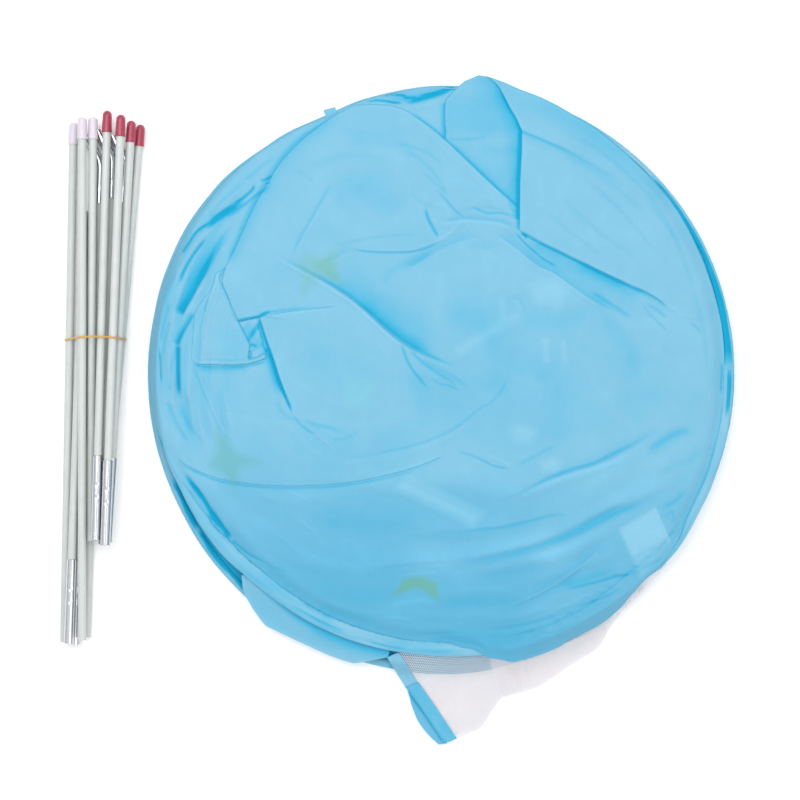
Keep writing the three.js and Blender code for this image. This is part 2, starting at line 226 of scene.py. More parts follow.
def region_grid(outline, step, turn=0.0):
    """Quads over the inside of an outline, with the rim's points drawn onto it."""
    poly = np.asarray(outline, float)
    c, s = math.cos(turn), math.sin(turn)
    rot = np.stack([poly[:, 0] * c + poly[:, 1] * s, -poly[:, 0] * s + poly[:, 1] * c], 1)
    lo, hi = rot.min(0) - step, rot.max(0) + step
    nx, ny = int((hi[0] - lo[0]) / step) + 2, int((hi[1] - lo[1]) / step) + 2
    gx, gy = np.meshgrid(lo[0] + np.arange(nx) * step, lo[1] + np.arange(ny) * step, indexing="ij")
    u, v = gx * c - gy * s, gx * s + gy * c
    ins = inside(u, v, poly)
    cell = ins[:-1, :-1].astype(int) + ins[1:, :-1] + ins[1:, 1:] + ins[:-1, 1:]
    keep = cell >= 1
    idx = np.arange(nx * ny).reshape(nx, ny)
    q = np.stack([idx[:-1, :-1], idx[:-1, 1:], idx[1:, 1:], idx[1:, :-1]], -1)[keep]
    u, v, ins = u.ravel(), v.ravel(), ins.ravel()
    used = np.unique(q)
    out = used[~ins[used]]
    if len(out):
        u[out], v[out] = snap(u[out], v[out], poly)
    # inner points very near the rim go onto it too, so the edge is clean
    inn = used[ins[used]]
    sx, sy = snap(u[inn], v[inn], poly)
    d = np.hypot(sx - u[inn], sy - v[inn])
    near_rim = d < step * 0.28
    u[inn[near_rim]], v[inn[near_rim]] = sx[near_rim], sy[near_rim]
    new = np.full(nx * ny, -1)
    new[used] = np.arange(len(used))
    q = new[q]
    u, v = u[used], v[used]
    # grid quads in (u, v down) are turned so that they face up
    area = 0.0
    for a, b in ((0, 1), (1, 2), (2, 3), (3, 0)):
        area = area + u[q[:, a]] * v[q[:, b]] - u[q[:, b]] * v[q[:, a]]
    q = q[np.abs(area) > 0.02 * step * step]
    area = area[np.abs(area) > 0.02 * step * step]
    q = np.where((area > 0)[:, None], q[:, ::-1], q)
    return u, v, q


# ------------------------------------------------------------------ colours of the cloth, in order: its own pale blue, the painted shade halfway into a crease, the painted shade at a crease's bottom, and doubled cloth, darkened partly as painted shade
PALE = np.array([0.238, 0.536, 0.706])
CREASE_SHADE = np.array([0.070, 0.468, 0.695])
DEEP_CREASE_SHADE = np.array([0.000, 0.370, 0.610])
DOUBLED_CLOTH_SHADE = np.array([0.086, 0.415, 0.625])


def cloth_colour_with_painted_shade(tint, u, v, seed=0):
    """Base colour with painted shade. The tint's real part is the depth of painted crease shade, 1 at its bottom, and
    below 0 it paints a highlight; its imaginary part is 0 for one layer of cloth and 0.45 for several, where the deeper
    colour is partly painted shade.
    """
    t = np.clip(np.real(tint) + 0.05 * fbm(u / 46.0, v / 46.0, 50 + seed) + 0.02 * noise(u / 9.0, v / 9.0, 70 + seed), -0.25, 1.0)
    t = t[..., None]
    many = np.clip(np.imag(tint) / 0.45, 0, 1)[..., None]
    a, b = np.clip(t / 0.45, 0, 1), np.clip((t - 0.45) / 0.55, 0, 1)
    base = PALE * (1 - many) + DOUBLED_CLOTH_SHADE * many
    base = base * (1 - a) + (CREASE_SHADE * (1 - many) + DOUBLED_CLOTH_SHADE * many) * a
    base = base * (1 - b) + DEEP_CREASE_SHADE * b
    return np.clip(base * (1 + 0.6 * np.clip(-t, 0, 1)), 0, 0.92)


# ------------------------------------------------------------------ materials
def material(name):
    m = bpy.data.materials.new(name)
    m.use_nodes = True
    nt = m.node_tree
    nt.nodes.clear()
    out = nt.nodes.new("ShaderNodeOutputMaterial")
    b = nt.nodes.new("ShaderNodeBsdfPrincipled")
    nt.links.new(b.outputs[0], out.inputs[0])
    return m, nt, b, out


def n(nt, kind, **kw):
    node = nt.nodes.new(kind)
    for k, v in kw.items():
        if k in node.inputs:
            node.inputs[k].default_value = v
        else:
            setattr(node, k, v)
    return node


def fabric_material(name, base_colour=None, weave=0.00055, bump=0.25, rough=0.62, sheen=0.08, strength=0.10, thin=0.16, painted_light_glow=0.0):
    """Plain-weave cloth: base colour from the mesh or one colour, woven threads, slubs and small creases; on the tent
    cloth the mesh's colour holds painted shade and painted highlights.
    """
    m, nt, b, out = material(name)
    L = nt.links.new
    co = n(nt, "ShaderNodeTexCoord")
    if base_colour is None:
        col = n(nt, "ShaderNodeAttribute", attribute_name="base_colour")
        src = col.outputs["Color"]
    else:
        col = n(nt, "ShaderNodeRGB")
        col.outputs[0].default_value = (*base_colour, 1)
        src = col.outputs[0]
    # threads: two crossed waves
    waves = []
    for axis in ("X", "Y"):
        w = n(nt, "ShaderNodeTexWave", wave_type="BANDS", bands_direction=axis)
        w.inputs["Scale"].default_value = 1.0 / (weave * 20.0 * 0.5)
        w.inputs["Distortion"].default_value = 0.25
        w.inputs["Detail"].default_value = 1.0
        w.inputs["Detail Scale"].default_value = 1.2
        L(co.outputs["Object"], w.inputs["Vector"])
        waves.append(w)
    mult = n(nt, "ShaderNodeMath", operation="MULTIPLY")
    L(waves[0].outputs["Fac"], mult.inputs[0])
    L(waves[1].outputs["Fac"], mult.inputs[1])
    slub = n(nt, "ShaderNodeTexNoise", Scale=900.0, Detail=3.0, Roughness=0.6)
    L(co.outputs["Object"], slub.inputs["Vector"])
    broad = n(nt, "ShaderNodeTexNoise", Scale=26.0, Detail=4.0, Roughness=0.55)
    L(co.outputs["Object"], broad.inputs["Vector"])
    # colour varies a little with the thread and with uneven dyeing
    mix1 = n(nt, "ShaderNodeMix", data_type="RGBA", blend_type="MULTIPLY")
    mix1.inputs["Factor"].default_value = strength
    ramp = n(nt, "ShaderNodeValToRGB")
    ramp.color_ramp.elements[0].position, ramp.color_ramp.elements[1].position = 0.2, 0.8
    ramp.color_ramp.elements[0].color, ramp.color_ramp.elements[1].color = (0.62, 0.74, 0.84, 1), (1, 1, 1, 1)
    L(mult.outputs[0], ramp.inputs[0])
    L(src, mix1.inputs[6])
    L(ramp.outputs[0], mix1.inputs[7])
    mix2 = n(nt, "ShaderNodeMix", data_type="RGBA", blend_type="MULTIPLY")
    mix2.inputs["Factor"].default_value = 0.22
    ramp2 = n(nt, "ShaderNodeValToRGB")
    ramp2.color_ramp.elements[0].position, ramp2.color_ramp.elements[1].position = 0.3, 0.7
    ramp2.color_ramp.elements[0].color, ramp2.color_ramp.elements[1].color = (0.72, 0.86, 0.93, 1), (1, 1, 1, 1)
    L(broad.outputs["Fac"], ramp2.inputs[0])
    L(mix1.outputs[2], mix2.inputs[6])
    L(ramp2.outputs[0], mix2.inputs[7])
    L(mix2.outputs[2], b.inputs["Base Color"])
    add = n(nt, "ShaderNodeMath", operation="MULTIPLY_ADD")
    add.inputs[1].default_value = 0.5
    L(slub.outputs["Fac"], add.inputs[0])
    L(mult.outputs[0], add.inputs[2])
    bp = n(nt, "ShaderNodeBump", Strength=bump, Distance=0.00018)
    L(add.outputs[0], bp.inputs["Height"])
    crumple = n(nt, "ShaderNodeTexNoise", Scale=95.0, Detail=5.0, Roughness=0.6, Distortion=1.4)
    L(co.outputs["Object"], crumple.inputs["Vector"])
    bp2 = n(nt, "ShaderNodeBump", Strength=0.22, Distance=0.0012)
    L(crumple.outputs["Fac"], bp2.inputs["Height"])
    L(bp.outputs[0], bp2.inputs["Normal"])
    L(bp2.outputs[0], b.inputs["Normal"])
    b.inputs["Roughness"].default_value = rough
    b.inputs["Sheen Weight"].default_value = sheen
    b.inputs["Sheen Roughness"].default_value = 0.4
    b.inputs["Specular IOR Level"].default_value = 0.16
    # light that passes through the thin cloth
    tr = n(nt, "ShaderNodeBsdfTranslucent")
    L(mix2.outputs[2], tr.inputs["Color"])
    ms = n(nt, "ShaderNodeMixShader")
    ms.inputs[0].default_value = thin
    # painted light: the colour is also given off as emission
    if painted_light_glow:
        L(mix2.outputs[2], b.inputs["Emission Color"])
        b.inputs["Emission Strength"].default_value = painted_light_glow
    L(b.outputs[0], ms.inputs[1])
    L(tr.outputs[0], ms.inputs[2])
    L(ms.outputs[0], out.inputs[0])
    return m


def solid_material(name, color, rough=0.4, metal=0.0, spec=0.5, coat=0.0, grain=(1, 1, 1), scale=400.0, bump=0.1, dist=0.0002, vary=0.12, dark=0.7, rough_vary=0.08):
    """Moulded plastic, rod or metal with fine grain, rubbed areas and handling marks."""
    m, nt, b, out = material(name)
    L = nt.links.new
    co = n(nt, "ShaderNodeTexCoord")
    mp = n(nt, "ShaderNodeMapping")
    mp.inputs["Scale"].default_value = grain
    L(co.outputs["Object"], mp.inputs["Vector"])
    a = n(nt, "ShaderNodeTexNoise", Scale=scale, Detail=4.0, Roughness=0.6)
    L(mp.outputs[0], a.inputs["Vector"])
    c = n(nt, "ShaderNodeTexNoise", Scale=60.0, Detail=5.0, Roughness=0.6)
    L(co.outputs["Object"], c.inputs["Vector"])
    rgb = n(nt, "ShaderNodeRGB")
    rgb.outputs[0].default_value = (*color, 1)
    ramp = n(nt, "ShaderNodeValToRGB")
    ramp.color_ramp.elements[0].position, ramp.color_ramp.elements[1].position = 0.3, 0.7
    ramp.color_ramp.elements[0].color = (dark, dark, dark, 1)
    ramp.color_ramp.elements[1].color = (1, 1, 1, 1)
    L(a.outputs["Fac"], ramp.inputs[0])
    mix = n(nt, "ShaderNodeMix", data_type="RGBA", blend_type="MULTIPLY")
    mix.inputs["Factor"].default_value = vary
    L(rgb.outputs[0], mix.inputs[6])
    L(ramp.outputs[0], mix.inputs[7])
    ramp3 = n(nt, "ShaderNodeValToRGB")
    ramp3.color_ramp.elements[0].position, ramp3.color_ramp.elements[1].position = 0.35, 0.65
    ramp3.color_ramp.elements[0].color = (dark, dark, dark, 1)
    ramp3.color_ramp.elements[1].color = (1, 1, 1, 1)
    L(c.outputs["Fac"], ramp3.inputs[0])
    mix2 = n(nt, "ShaderNodeMix", data_type="RGBA", blend_type="MULTIPLY")
    mix2.inputs["Factor"].default_value = vary * 0.6
    L(mix.outputs[2], mix2.inputs[6])
    L(ramp3.outputs[0], mix2.inputs[7])
    L(mix2.outputs[2], b.inputs["Base Color"])
    mr = n(nt, "ShaderNodeMapRange")
    mr.inputs["To Min"].default_value = rough - rough_vary
    mr.inputs["To Max"].default_value = rough + rough_vary
    L(c.outputs["Fac"], mr.inputs["Value"])
    L(mr.outputs[0], b.inputs["Roughness"])
    bp = n(nt, "ShaderNodeBump", Strength=bump, Distance=dist)
    L(a.outputs["Fac"], bp.inputs["Height"])
    L(bp.outputs[0], b.inputs["Normal"])
    b.inputs["Metallic"].default_value = metal
    b.inputs["Specular IOR Level"].default_value = spec
    b.inputs["Coat Weight"].default_value = coat
    b.inputs["Coat Roughness"].default_value = 0.15
    return m


M_CLOTH = fabric_material("tent_cloth")
M_TAPE = fabric_material("binding_tape", weave=0.0009, bump=0.4, rough=0.6, strength=0.2)
# the net's emission is painted light, standing in for light scattered in its white threads; the gathered net gets more
M_NET = fabric_material("window_net", base_colour=(0.93, 0.90, 0.915), weave=0.0004, bump=0.05, rough=0.7, sheen=0.1, strength=0.02, thin=0.3, painted_light_glow=0.10)
M_NET_GATHER = fabric_material("window_net_gather", base_colour=(0.93, 0.905, 0.925), weave=0.0004, bump=0.05, rough=0.7, sheen=0.1, strength=0.02, thin=0.3, painted_light_glow=0.18)
M_THREAD = fabric_material("sewing_thread", base_colour=(0.27, 0.60, 0.79), weave=0.0003, bump=0.3, rough=0.5)
M_WEBBING = fabric_material("patch_webbing", base_colour=(0.50, 0.72, 0.84), weave=0.0012, bump=0.5, rough=0.7)
M_STAR = fabric_material("star_print", base_colour=(0.55, 0.70, 0.12), weave=0.0005, bump=0.2, rough=0.6)
M_ROD = solid_material("fibreglass", (0.57, 0.605, 0.585), rough=0.38, spec=0.5, grain=(5, 0.12, 5), scale=260.0, bump=0.28, dist=0.0003, vary=0.35, dark=0.72)
M_WHITE = solid_material("white_vinyl", (0.63, 0.585, 0.655), rough=0.42, spec=0.5, coat=0.1, scale=500.0, bump=0.06, vary=0.12, dark=0.8)
M_RED = solid_material("red_vinyl", (0.38, 0.036, 0.078), rough=0.36, spec=0.5, coat=0.2, scale=420.0, bump=0.07, vary=0.35, dark=0.6)
M_STEEL = solid_material("plated_steel", (0.64, 0.66, 0.69), rough=0.2, metal=1.0, grain=(3, 0.2, 3), scale=500.0, bump=0.03, dist=0.0001, vary=0.2, dark=0.8, rough_vary=0.04)
M_STRIP = solid_material("spring_steel", (0.42, 0.43, 0.45), rough=0.3, metal=1.0, scale=300.0, bump=0.1, vary=0.4, dark=0.6)
M_RUBBER = solid_material("natural_rubber", (0.62, 0.36, 0.07), rough=0.5, spec=0.4, scale=700.0, bump=0.15, vary=0.35, dark=0.6)


# ------------------------------------------------------------------ rings of the folded hoop
def table(pairs):
    a = np.array(sorted(pairs), float)
    ang, val = a[:, 0], a[:, 1]
    ang = np.concatenate([ang - 360, ang, ang + 360])
    val = np.concatenate([val, val, val])

    def f(deg):
        d = np.mod(deg, 360)
        # smooth interpolation: cosine between neighbours
        i = np.clip(np.searchsorted(ang, d) - 1, 0, len(ang) - 2)
        t = (d - ang[i]) / (ang[i + 1] - ang[i])
        t = t * t * (3 - 2 * t)
        return val[i] * (1 - t) + val[i + 1] * t

    return f


# middle of each sleeve, as a radius on the grid by the angle (clockwise from the right)
LOW_R = table([(0, 287.2), (25, 286), (36, 284.5), (45, 282), (55, 287.5), (65, 288.5), (76, 290.6), (84, 292.4), (92, 292.4), (100, 291), (110, 291), (125, 290.5), (140, 289.5), (155, 288.4), (170, 289), (190, 289.5), (200, 291), (210, 291.8), (220, 290.5), (235, 285), (246, 281.5), (255, 284), (270, 286.5), (285, 287), (300, 288.7), (330, 289), (350, 288)])
MID_R = table([(0, 286.6), (25, 285.5), (45, 282), (60, 283), (75, 281), (90, 277), (108, 273), (125, 272), (140, 272.5), (155, 279), (170, 285), (190, 287), (205, 289), (220, 288), (235, 283.5), (246, 280.5), (256, 283), (270, 286), (285, 286.5), (300, 288), (330, 288.4), (350, 287.6)])
# inner and outer edge of the top sleeve, which lies flat
TOP_IN = table([(0, 280.2), (9, 281), (20, 281.2), (27, 281.0), (36, 283.0), (41, 281.5), (46, 278.5), (51, 276), (60, 271), (70, 267.5), (80, 265), (95, 263.5), (108, 262.8), (123, 262.4), (131, 262.8), (141, 266), (148, 271), (155, 276), (164, 280.5), (180, 281), (200, 283), (215, 284.5), (228, 283.5), (237, 280.5), (246, 277.5), (256, 279), (270, 282), (285, 283.5), (305, 285), (315, 288.2), (321, 289.0), (327, 287.6), (334, 286.2), (341, 285.0), (348, 284.2), (355, 283.2)])
TOP_OUT = table([(0, 291.6), (9, 291.0), (20, 290.6), (27, 290.6), (36, 292.0), (40, 291.0), (45, 287.0), (51, 286.6), (60, 285.2), (70, 283.4), (80, 281.8), (88, 279.8), (99, 278.3), (112, 278.6), (126, 278.6), (134, 279.6), (142, 283.0), (150, 284.0), (156, 284.8), (164, 287.6), (180, 287.6), (200, 289.6), (215, 291), (228, 290), (237, 287), (246, 284.0), (256, 286), (270, 289), (285, 291.5), (300, 292.6), (315, 293.2), (330, 293.0), (345, 292.4)])
LOW_Z, MID_Z, TOP_Z, TOP_H = 5.0, 15.8, 26.0, 2.7


def TOP_R(a):
    return (TOP_IN(a) + TOP_OUT(a)) / 2


def turn_in(a, lo, hi, soft=3.0):
    """1 between two angles, 0 elsewhere, with soft ends."""
    a = np.mod(a - lo, 360)
    w = np.mod(hi - lo, 360)
    return smooth(a, 0, soft) * smooth(w - a, 0, soft)


def low_shade(r, a, rc):
    # painted deep shade on the sleeve's inner part, which lies in the slits at the lower left; its cloth crosses the
    # slit once, where the painted shade is lighter; and a short band of painted shade at 96 to 101 degrees
    out = rc + 4.8 - r
    slit = 1.0 * turn_in(a, 126, 160, 3) * (1 - 0.75 * np.exp(-(((a - 147.9) / 0.9) ** 2)))
    return slit * smooth(out, 2.4 + 1.2 * np.sin(a / 3.0) ** 2, 4.0) + 0.5 * turn_in(a, 96, 101, 1.5)


def mid_shade(r, a, rc):
    return 0.55 + 0.45 * turn_in(a, 124, 161, 3)


def top_shade(r, a, rc):
    # painted deep shade at the bottom of the crease inside the right rim
    w = 291.9 - r - 0.8 * turn_in(a, 345, 362, 6)
    t = 1.0 * turn_in(a, 315, 359, 5) * smooth(w, 0.0, 0.9)
    t = t + 0.85 * turn_in(a, 357.5, 368.5, 3) * smooth(r, 284.6, 285.8) * smooth(289.8 - r, 0, 1.0)
    # the sleeve is pulled into long folds, painted as streaks of shade and light, and gathered where it is sewn to the
    # cloth, with painted shade in the gathers
    share = (r - TOP_IN(a)) / np.maximum(TOP_OUT(a) - TOP_IN(a), 1)
    side = turn_in(a, 60, 168, 10)
    t = t + side * (0.42 * np.exp(-(((share - 0.70 - 0.07 * np.sin(a / 7.0)) / 0.07) ** 2)) * np.clip(0.55 + noise(a / 6.0, 0 * a, 36), 0, 1) + 0.22 * np.maximum(0, noise(a / 9.0, share * 5.0, 37)) - 0.14 * np.maximum(0, noise(a / 7.0, share * 6.0 + 3, 38)))
    t = t + side * 0.45 * np.exp(-(((share - 0.06) / 0.09) ** 2)) * np.clip(noise(a * 1.4, share * 2, 39) * 1.6, 0, 1)
    # painted shade over the lower part of the sleeve, a painted highlight along its outer edge, and painted shade in
    # the puckers at its inner edge
    t = t + 0.10 * turn_in(a, 10, 160, 6) - 0.12 * np.exp(-(((TOP_OUT(a) - r) / 1.0) ** 2)) * turn_in(a, 20, 165, 6)
    return t + 0.30 * np.exp(-(((r - TOP_IN(a)) / 1.1) ** 2)) * turn_in(a, 96, 160, 6) * np.clip(noise(a * 1.9, 0 * a, 35) * 2, 0, 1)


def ring_tube(name, radius, zc, body, node, half_r=4.7, half_z=4.7, seed=0, tint=0.12, shade=None):
    """Cloth sleeve over the hoop wire: pulled along the wire, puckered at its seam. half_r may vary with the angle."""
    na, ns = 1080, 24
    deg = np.arange(na) * 360.0 / na
    a = np.radians(deg)[:, None]
    s = (np.arange(ns) * 2 * np.pi / ns)[None, :]
    r0 = radius(deg)[:, None]
    hr = half_r(deg)[:, None] if callable(half_r) else half_r
    arc = deg[:, None] * 5.0  # grid units along the rim
    sect = np.cos(s), np.sign(np.sin(s)) * np.abs(np.sin(s)) ** 0.8
    pucker = 0.05 * noise(arc / 9.0 + 0.0 * s, s * 1.2 + 3, seed) + 0.04 * noise(arc / 3.6, s * 1.6, seed + 3)
    twist = 0.10 * np.maximum(0, noise(arc / 30.0 - s * 0.9, s * 0.7, seed + 5)) ** 1.0
    rr = r0 + hr * (1 + 0.25 * (pucker + twist)) * sect[0]
    zz = zc + half_z * (1 + pucker + twist) * sect[1]
    if callable(half_r):
        # long soft folds along the flat sleeve
        zz = zz + (0.55 * noise(arc / 60.0, sect[0] * 2.6 + arc / 260.0, seed + 7) + 0.30 * noise(arc / 26.0, sect[0] * 5.0 + arc / 120.0, seed + 8)) * (sect[1] > 0)
    zz = np.maximum(zz, 0.15)
    u, v = PC[0] + rr * np.cos(a), PC[1] + rr * np.sin(a)
    V = place(u, v, zz).reshape(-1, 3)
    i = np.arange(na)[:, None]
    j = np.arange(ns)[None, :]
    q = np.stack([i * ns + j, ((i + 1) % na) * ns + j, ((i + 1) % na) * ns + (j + 1) % ns, i * ns + (j + 1) % ns], -1).reshape(-1, 4)
    # painted shade on the underside of the sleeve, plus random tone along it
    under = smooth(-np.sin(s), -0.1, 0.9) * 0.35 + 0 * arc
    t = tint + under + 0.10 * noise(arc / 60.0, 0 * s, seed + 9) + 0.05 * noise(arc / 12.0, s * 2.0, seed + 11)
    if shade is not None:
        t = t + shade(rr, deg[:, None] + 0 * s, r0)
    base_colour = cloth_colour_with_painted_shade(t, u, v, seed).reshape(-1, 3)
    o = new_mesh(name, V, q[:, ::-1], M_CLOTH, base_colour)
    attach(o, body)
    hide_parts(node)
    return o


low_sleeve = ring_tube("sleeve_low_coil", LOW_R, LOW_Z, "packed_tent", "lower_hoop_sleeve", 4.8, 4.6, 11, 0.10, low_shade)
mid_sleeve = ring_tube("sleeve_middle_coil", MID_R, MID_Z, "middle_coil", "middle_hoop_sleeve", 4.6, 4.6, 21, 0.10, mid_shade)
top_sleeve = ring_tube("sleeve_top_coil", TOP_R, TOP_Z, "top_coil", "upper_hoop_sleeve", lambda a: (TOP_OUT(a) - TOP_IN(a)) / 2, TOP_H, 31, 0.04, top_shade)


def hoop_wire(name, radius, zc, body, node, r_mm=1.3, lo=0.0, hi=360.0, mat=None, ridges=0):
    """Flat-sided spring wire inside its sleeve, or the crimped tube on its ends."""
    whole = hi - lo > 359
    n_a = 720 if whole else 40
    deg = lo + np.arange(n_a + (not whole)) * (hi - lo) / n_a
    a, s = np.radians(deg)[:, None], (np.arange(10) * 2 * np.pi / 10)[None, :]
    swell = 1 - 0.12 * (np.cos(np.linspace(0, ridges * 2 * np.pi, len(deg)))[:, None] > 0.6) if ridges else 1.0
    rr = radius(deg)[:, None] + r_mm * swell * np.cos(s) / GRID
    V = place(PC[0] + rr * np.cos(a), PC[1] + rr * np.sin(a), zc + 0.72 * r_mm * swell * np.sin(s)).reshape(-1, 3)
    m = len(deg)
    q = [[i * 10 + j, ((i + 1) % m) * 10 + j, ((i + 1) % m) * 10 + (j + 1) % 10, i * 10 + (j + 1) % 10] for i in range(m if whole else m - 1) for j in range(10)]
    if not whole:
        for e in (0, m - 1):
            q += [[e * 10 + k for k in ks] for ks in ((0, 1, 2, 3), (0, 3, 4, 9), (4, 5, 8, 9), (5, 6, 7, 8))]
    o = new_mesh(name, V, np.array(q)[:, ::-1], mat or M_STRIP)
    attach(o, body)
    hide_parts(node)
    return o


hoop_wire("wire_low_coil", LOW_R, LOW_Z, "packed_tent", "lower_hoop_wire")
hoop_wire("wire_middle_coil", MID_R, MID_Z, "middle_coil", "middle_hoop_wire")
hoop_wire("wire_top_coil", TOP_R, TOP_Z, "top_coil", "upper_hoop_wire")
tube_lo, tube_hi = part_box("wire_joint_tube")
tube_mid = (tube_lo + tube_hi) / 2
disc_mid = place(PC[0], PC[1], MID_Z)
tube_deg = math.degrees(math.atan2(-(tube_mid.y - disc_mid[1]), tube_mid.x - disc_mid[0]))
hoop_wire("wire_joint_crimp", MID_R, MID_Z, "middle_coil", "wire_joint_tube", 2.1, tube_deg - 3.4, tube_deg + 3.4, M_STEEL, 5)

# ------------------------------------------------------------------ folds of the top cloth
# each fold: points, height in mm, reach left and right, painted shade (a painted highlight where it is negative), its
# reach left and right, run-in and run-out
FOLDS = []
DEPTH = 0.85


def fold(pts, h, wl, wr, tint=0.0, tl=None, tr=None, t0=0.15, t1=0.15, p=2.0):
    FOLDS.append((curve(pts, 5), h * (DEPTH if h < 0 else 1), wl, wr, tint, tl or wl, tr or wr, t0, t1, p))


def crease(pts, h=-1.3, w=1.8, tint=0.55, tw=None, t0=0.2, t1=0.2):
    fold(pts, h, w, w, tint, tw or w * 0.9, tw or w * 0.9, t0, t1)


def slit(pts, h, w, tint, t0=0.25, t1=0.25):
    """A crease with two crisp sides that tapers to its ends."""
    fold(pts, h, w, w, tint, w, w, t0, t1, 3.6)


def lip(pts, h, left, right, tint, t0=0.15, t1=0.2):
    """A crease that is crisp on one side and fades on the other."""
    fold(pts, h, left, right, tint, left, right, t0, t1, 1.7)


# left rim, between the outer sleeve and the big cloth
slit([(180.9, 255.2), (188, 244), (195, 233.5), (202, 227.5), (210, 222)], -1.2, 1.3, 0.85, 0.15, 0.2)
slit([(232, 205.5), (243, 198), (251.1, 191), (255.5, 184.5)], -1.0, 1.5, 0.75, 0.3, 0.15)
fold([(203, 229.5), (210, 224), (217, 218), (226, 212), (236, 206), (248, 197)], -1.4, 3.0, 3.4, 1.2, 2.8, 3.2, 0.25, 0.5, 3.4)
lip([(206, 222), (213, 217), (222, 210.5), (232, 204), (244, 196)], -0.4, 0.8, 7.0, 0.34, 0.3, 0.4)
lip([(224.3, 219), (238, 209), (249.8, 199.8), (260, 192), (272.8, 184.5)], -0.8, 0.7, 2.0, 0.50, 0.2, 0.2)
slit([(178.8, 285.4), (184.7, 270), (193.6, 254.7), (201.3, 244.5), (207.7, 236.8)], -1.2, 1.5, 0.75, 0.2, 0.2)
lip([(181.5, 317), (185, 309), (190.4, 300), (197, 287.5), (203, 276), (210, 261), (215.5, 248), (219, 240)], -2.2, 7.4, 0.9, 1.25, 0.08, 0.55)
fold([(196, 290), (205, 270), (213, 252), (222, 234), (230, 222)], -0.6, 4.6, 5.0, 0.42, 4.4, 5.0, 0.3, 0.4)
lip([(186, 300), (199, 270), (212, 240), (226, 216), (240, 204)], -0.3, 9.0, 2.0, 0.08, 0.2, 0.3)
lip([(177, 347), (182.6, 334), (191.8, 318.6), (194.5, 311)], -1.4, 4.2, 0.8, 0.85, 0.12, 0.2)
slit([(178.3, 345), (178.0, 360), (178.2, 376), (179, 397)], -1.4, 1.8, 0.85, 0.08, 0.2)
slit([(158.6, 345), (160, 358), (160.6, 372), (161.6, 386)], -0.7, 0.8, 0.7)
slit([(207.6, 298), (205.8, 306), (204.4, 314)], -0.6, 0.9, 0.65)
slit([(259.5, 181), (266, 179.4), (272.8, 175.5)], -0.8, 1.1, 0.65)
slit([(264.4, 183.6), (268, 183.4), (271.5, 181.7)], -0.6, 0.9, 0.55)
crease([(240, 182), (250, 176), (262, 166), (276, 156)], -0.8, 2.0, 0.20, 1.8)
crease([(206, 222), (216, 208), (232, 192), (246, 180)], -0.8, 2.4, 0.16, 2.4)
crease([(170, 300), (164, 322), (159.5, 345)], -1.2, 1.8, 0.25, 1.6)
crease([(176, 270), (168, 290), (163, 310)], -0.8, 2.0, 0.18, 1.8)
crease([(186, 325), (178, 345), (171, 372), (170, 398)], -0.9, 2.2, 0.22, 2.0)
crease([(170, 318), (165, 338), (163, 356)], -0.8, 2.0, 0.20, 1.8)
fold([(172, 290), (181, 268), (193, 246), (208, 228)], 1.6, 3.5, 3.5, -0.10, 2.5, 2.5)
fold([(196, 300), (205, 280), (215, 260), (226, 240)], 1.8, 4.0, 4.0, -0.08)
fold([(208, 214), (222, 204), (238, 190)], 1.2, 3.0, 3.0, -0.08)
fold([(168, 345), (168, 365), (170, 390)], 1.6, 3.0, 3.0, -0.08)
fold([(184, 335), (182.5, 350), (184, 380), (190, 404)], 1.6, 3.0, 5.0, -0.06)
fold([(222, 300), (212, 330), (206, 360)], 0.8, 5.0, 5.0, 0.0)
# top rim: wavy folds of the sleeve's mouth
fold([(378, 99.5), (396, 98), (416, 97), (436, 93), (452, 89)], -0.4, 4.6, 4.6, 0.34, 4.6, 4.6, 0.3, 0.1, 2.6)
slit([(364, 103), (374, 100.6), (384, 100.8), (394, 102.6), (404, 103.2)], -0.9, 1.4, 0.80, 0.3, 0.2)
slit([(404, 103), (414, 100.6), (428, 96.6), (442, 92), (456, 87.2)], -1.2, 1.9, 1.0, 0.25, 0.05)
slit([(414, 98), (428, 93.8), (442, 90), (456, 85.6)], -0.8, 1.0, 0.80, 0.3, 0.1)
slit([(380, 96.6), (390, 94.6), (400, 94.8), (409, 97.6)], -0.8, 1.5, 0.75, 0.3, 0.2)
slit([(402, 99.4), (410, 97.6), (419, 97.8)], -0.8, 1.3, 0.70, 0.3, 0.3)
lip([(404, 104.4), (418, 102.4), (434, 97.4), (450, 91)], -0.4, 1.0, 1.0, 0.30, 0.2, 0.2)
fold([(410, 108), (428, 106), (442, 99)], 0.8, 3.0, 3.0, -0.05)
# shade beside the big cloth's left edge, and beside the flap
fold([(350, 107), (304, 135), (280, 159), (266, 181), (251, 207), (233, 248), (226, 266)], -0.6, 9.0, 2.0, 0.40, 7.0, 2.0, 0.2, 0.08, 1.4)
fold([(217, 277), (222, 290), (236, 319), (240, 326), (249, 345)], -0.4, 1.0, 2.4, 0.7, 1.0, 1.4)
# facets in the opening between the flap and the front cloth
crease([(250, 338), (254, 330), (259, 322)], -0.6, 1.6, 0.35, 1.5)
crease([(252, 344), (258, 336), (259.5, 326)], 0.5, 1.6, -0.12, 1.4)
crease([(249.5, 346), (253, 345), (257, 347)], -0.8, 1.6, 0.65, 1.3)
crease([(249, 350), (251, 355), (248.5, 360)], -0.8, 1.4, 0.6, 1.2)
crease([(261, 342), (264.5, 348), (266.5, 353)], -0.8, 1.6, 0.6, 1.4)
crease([(257, 322), (260.5, 334), (264, 345)], -0.8, 1.1, 0.85, 0.9)
fold([(258, 317), (262, 330), (266.6, 343), (272, 358), (279, 381), (287, 400), (293, 413)], -0.6, 1.6, 1.6, 0.9, 1.8, 1.8, 0.06, 0.1, 3.0)
lip([(265.5, 345), (272.5, 360), (279.5, 381), (287, 399)], -1.0, 0.7, 5.4, 0.98, 0.15, 0.35)
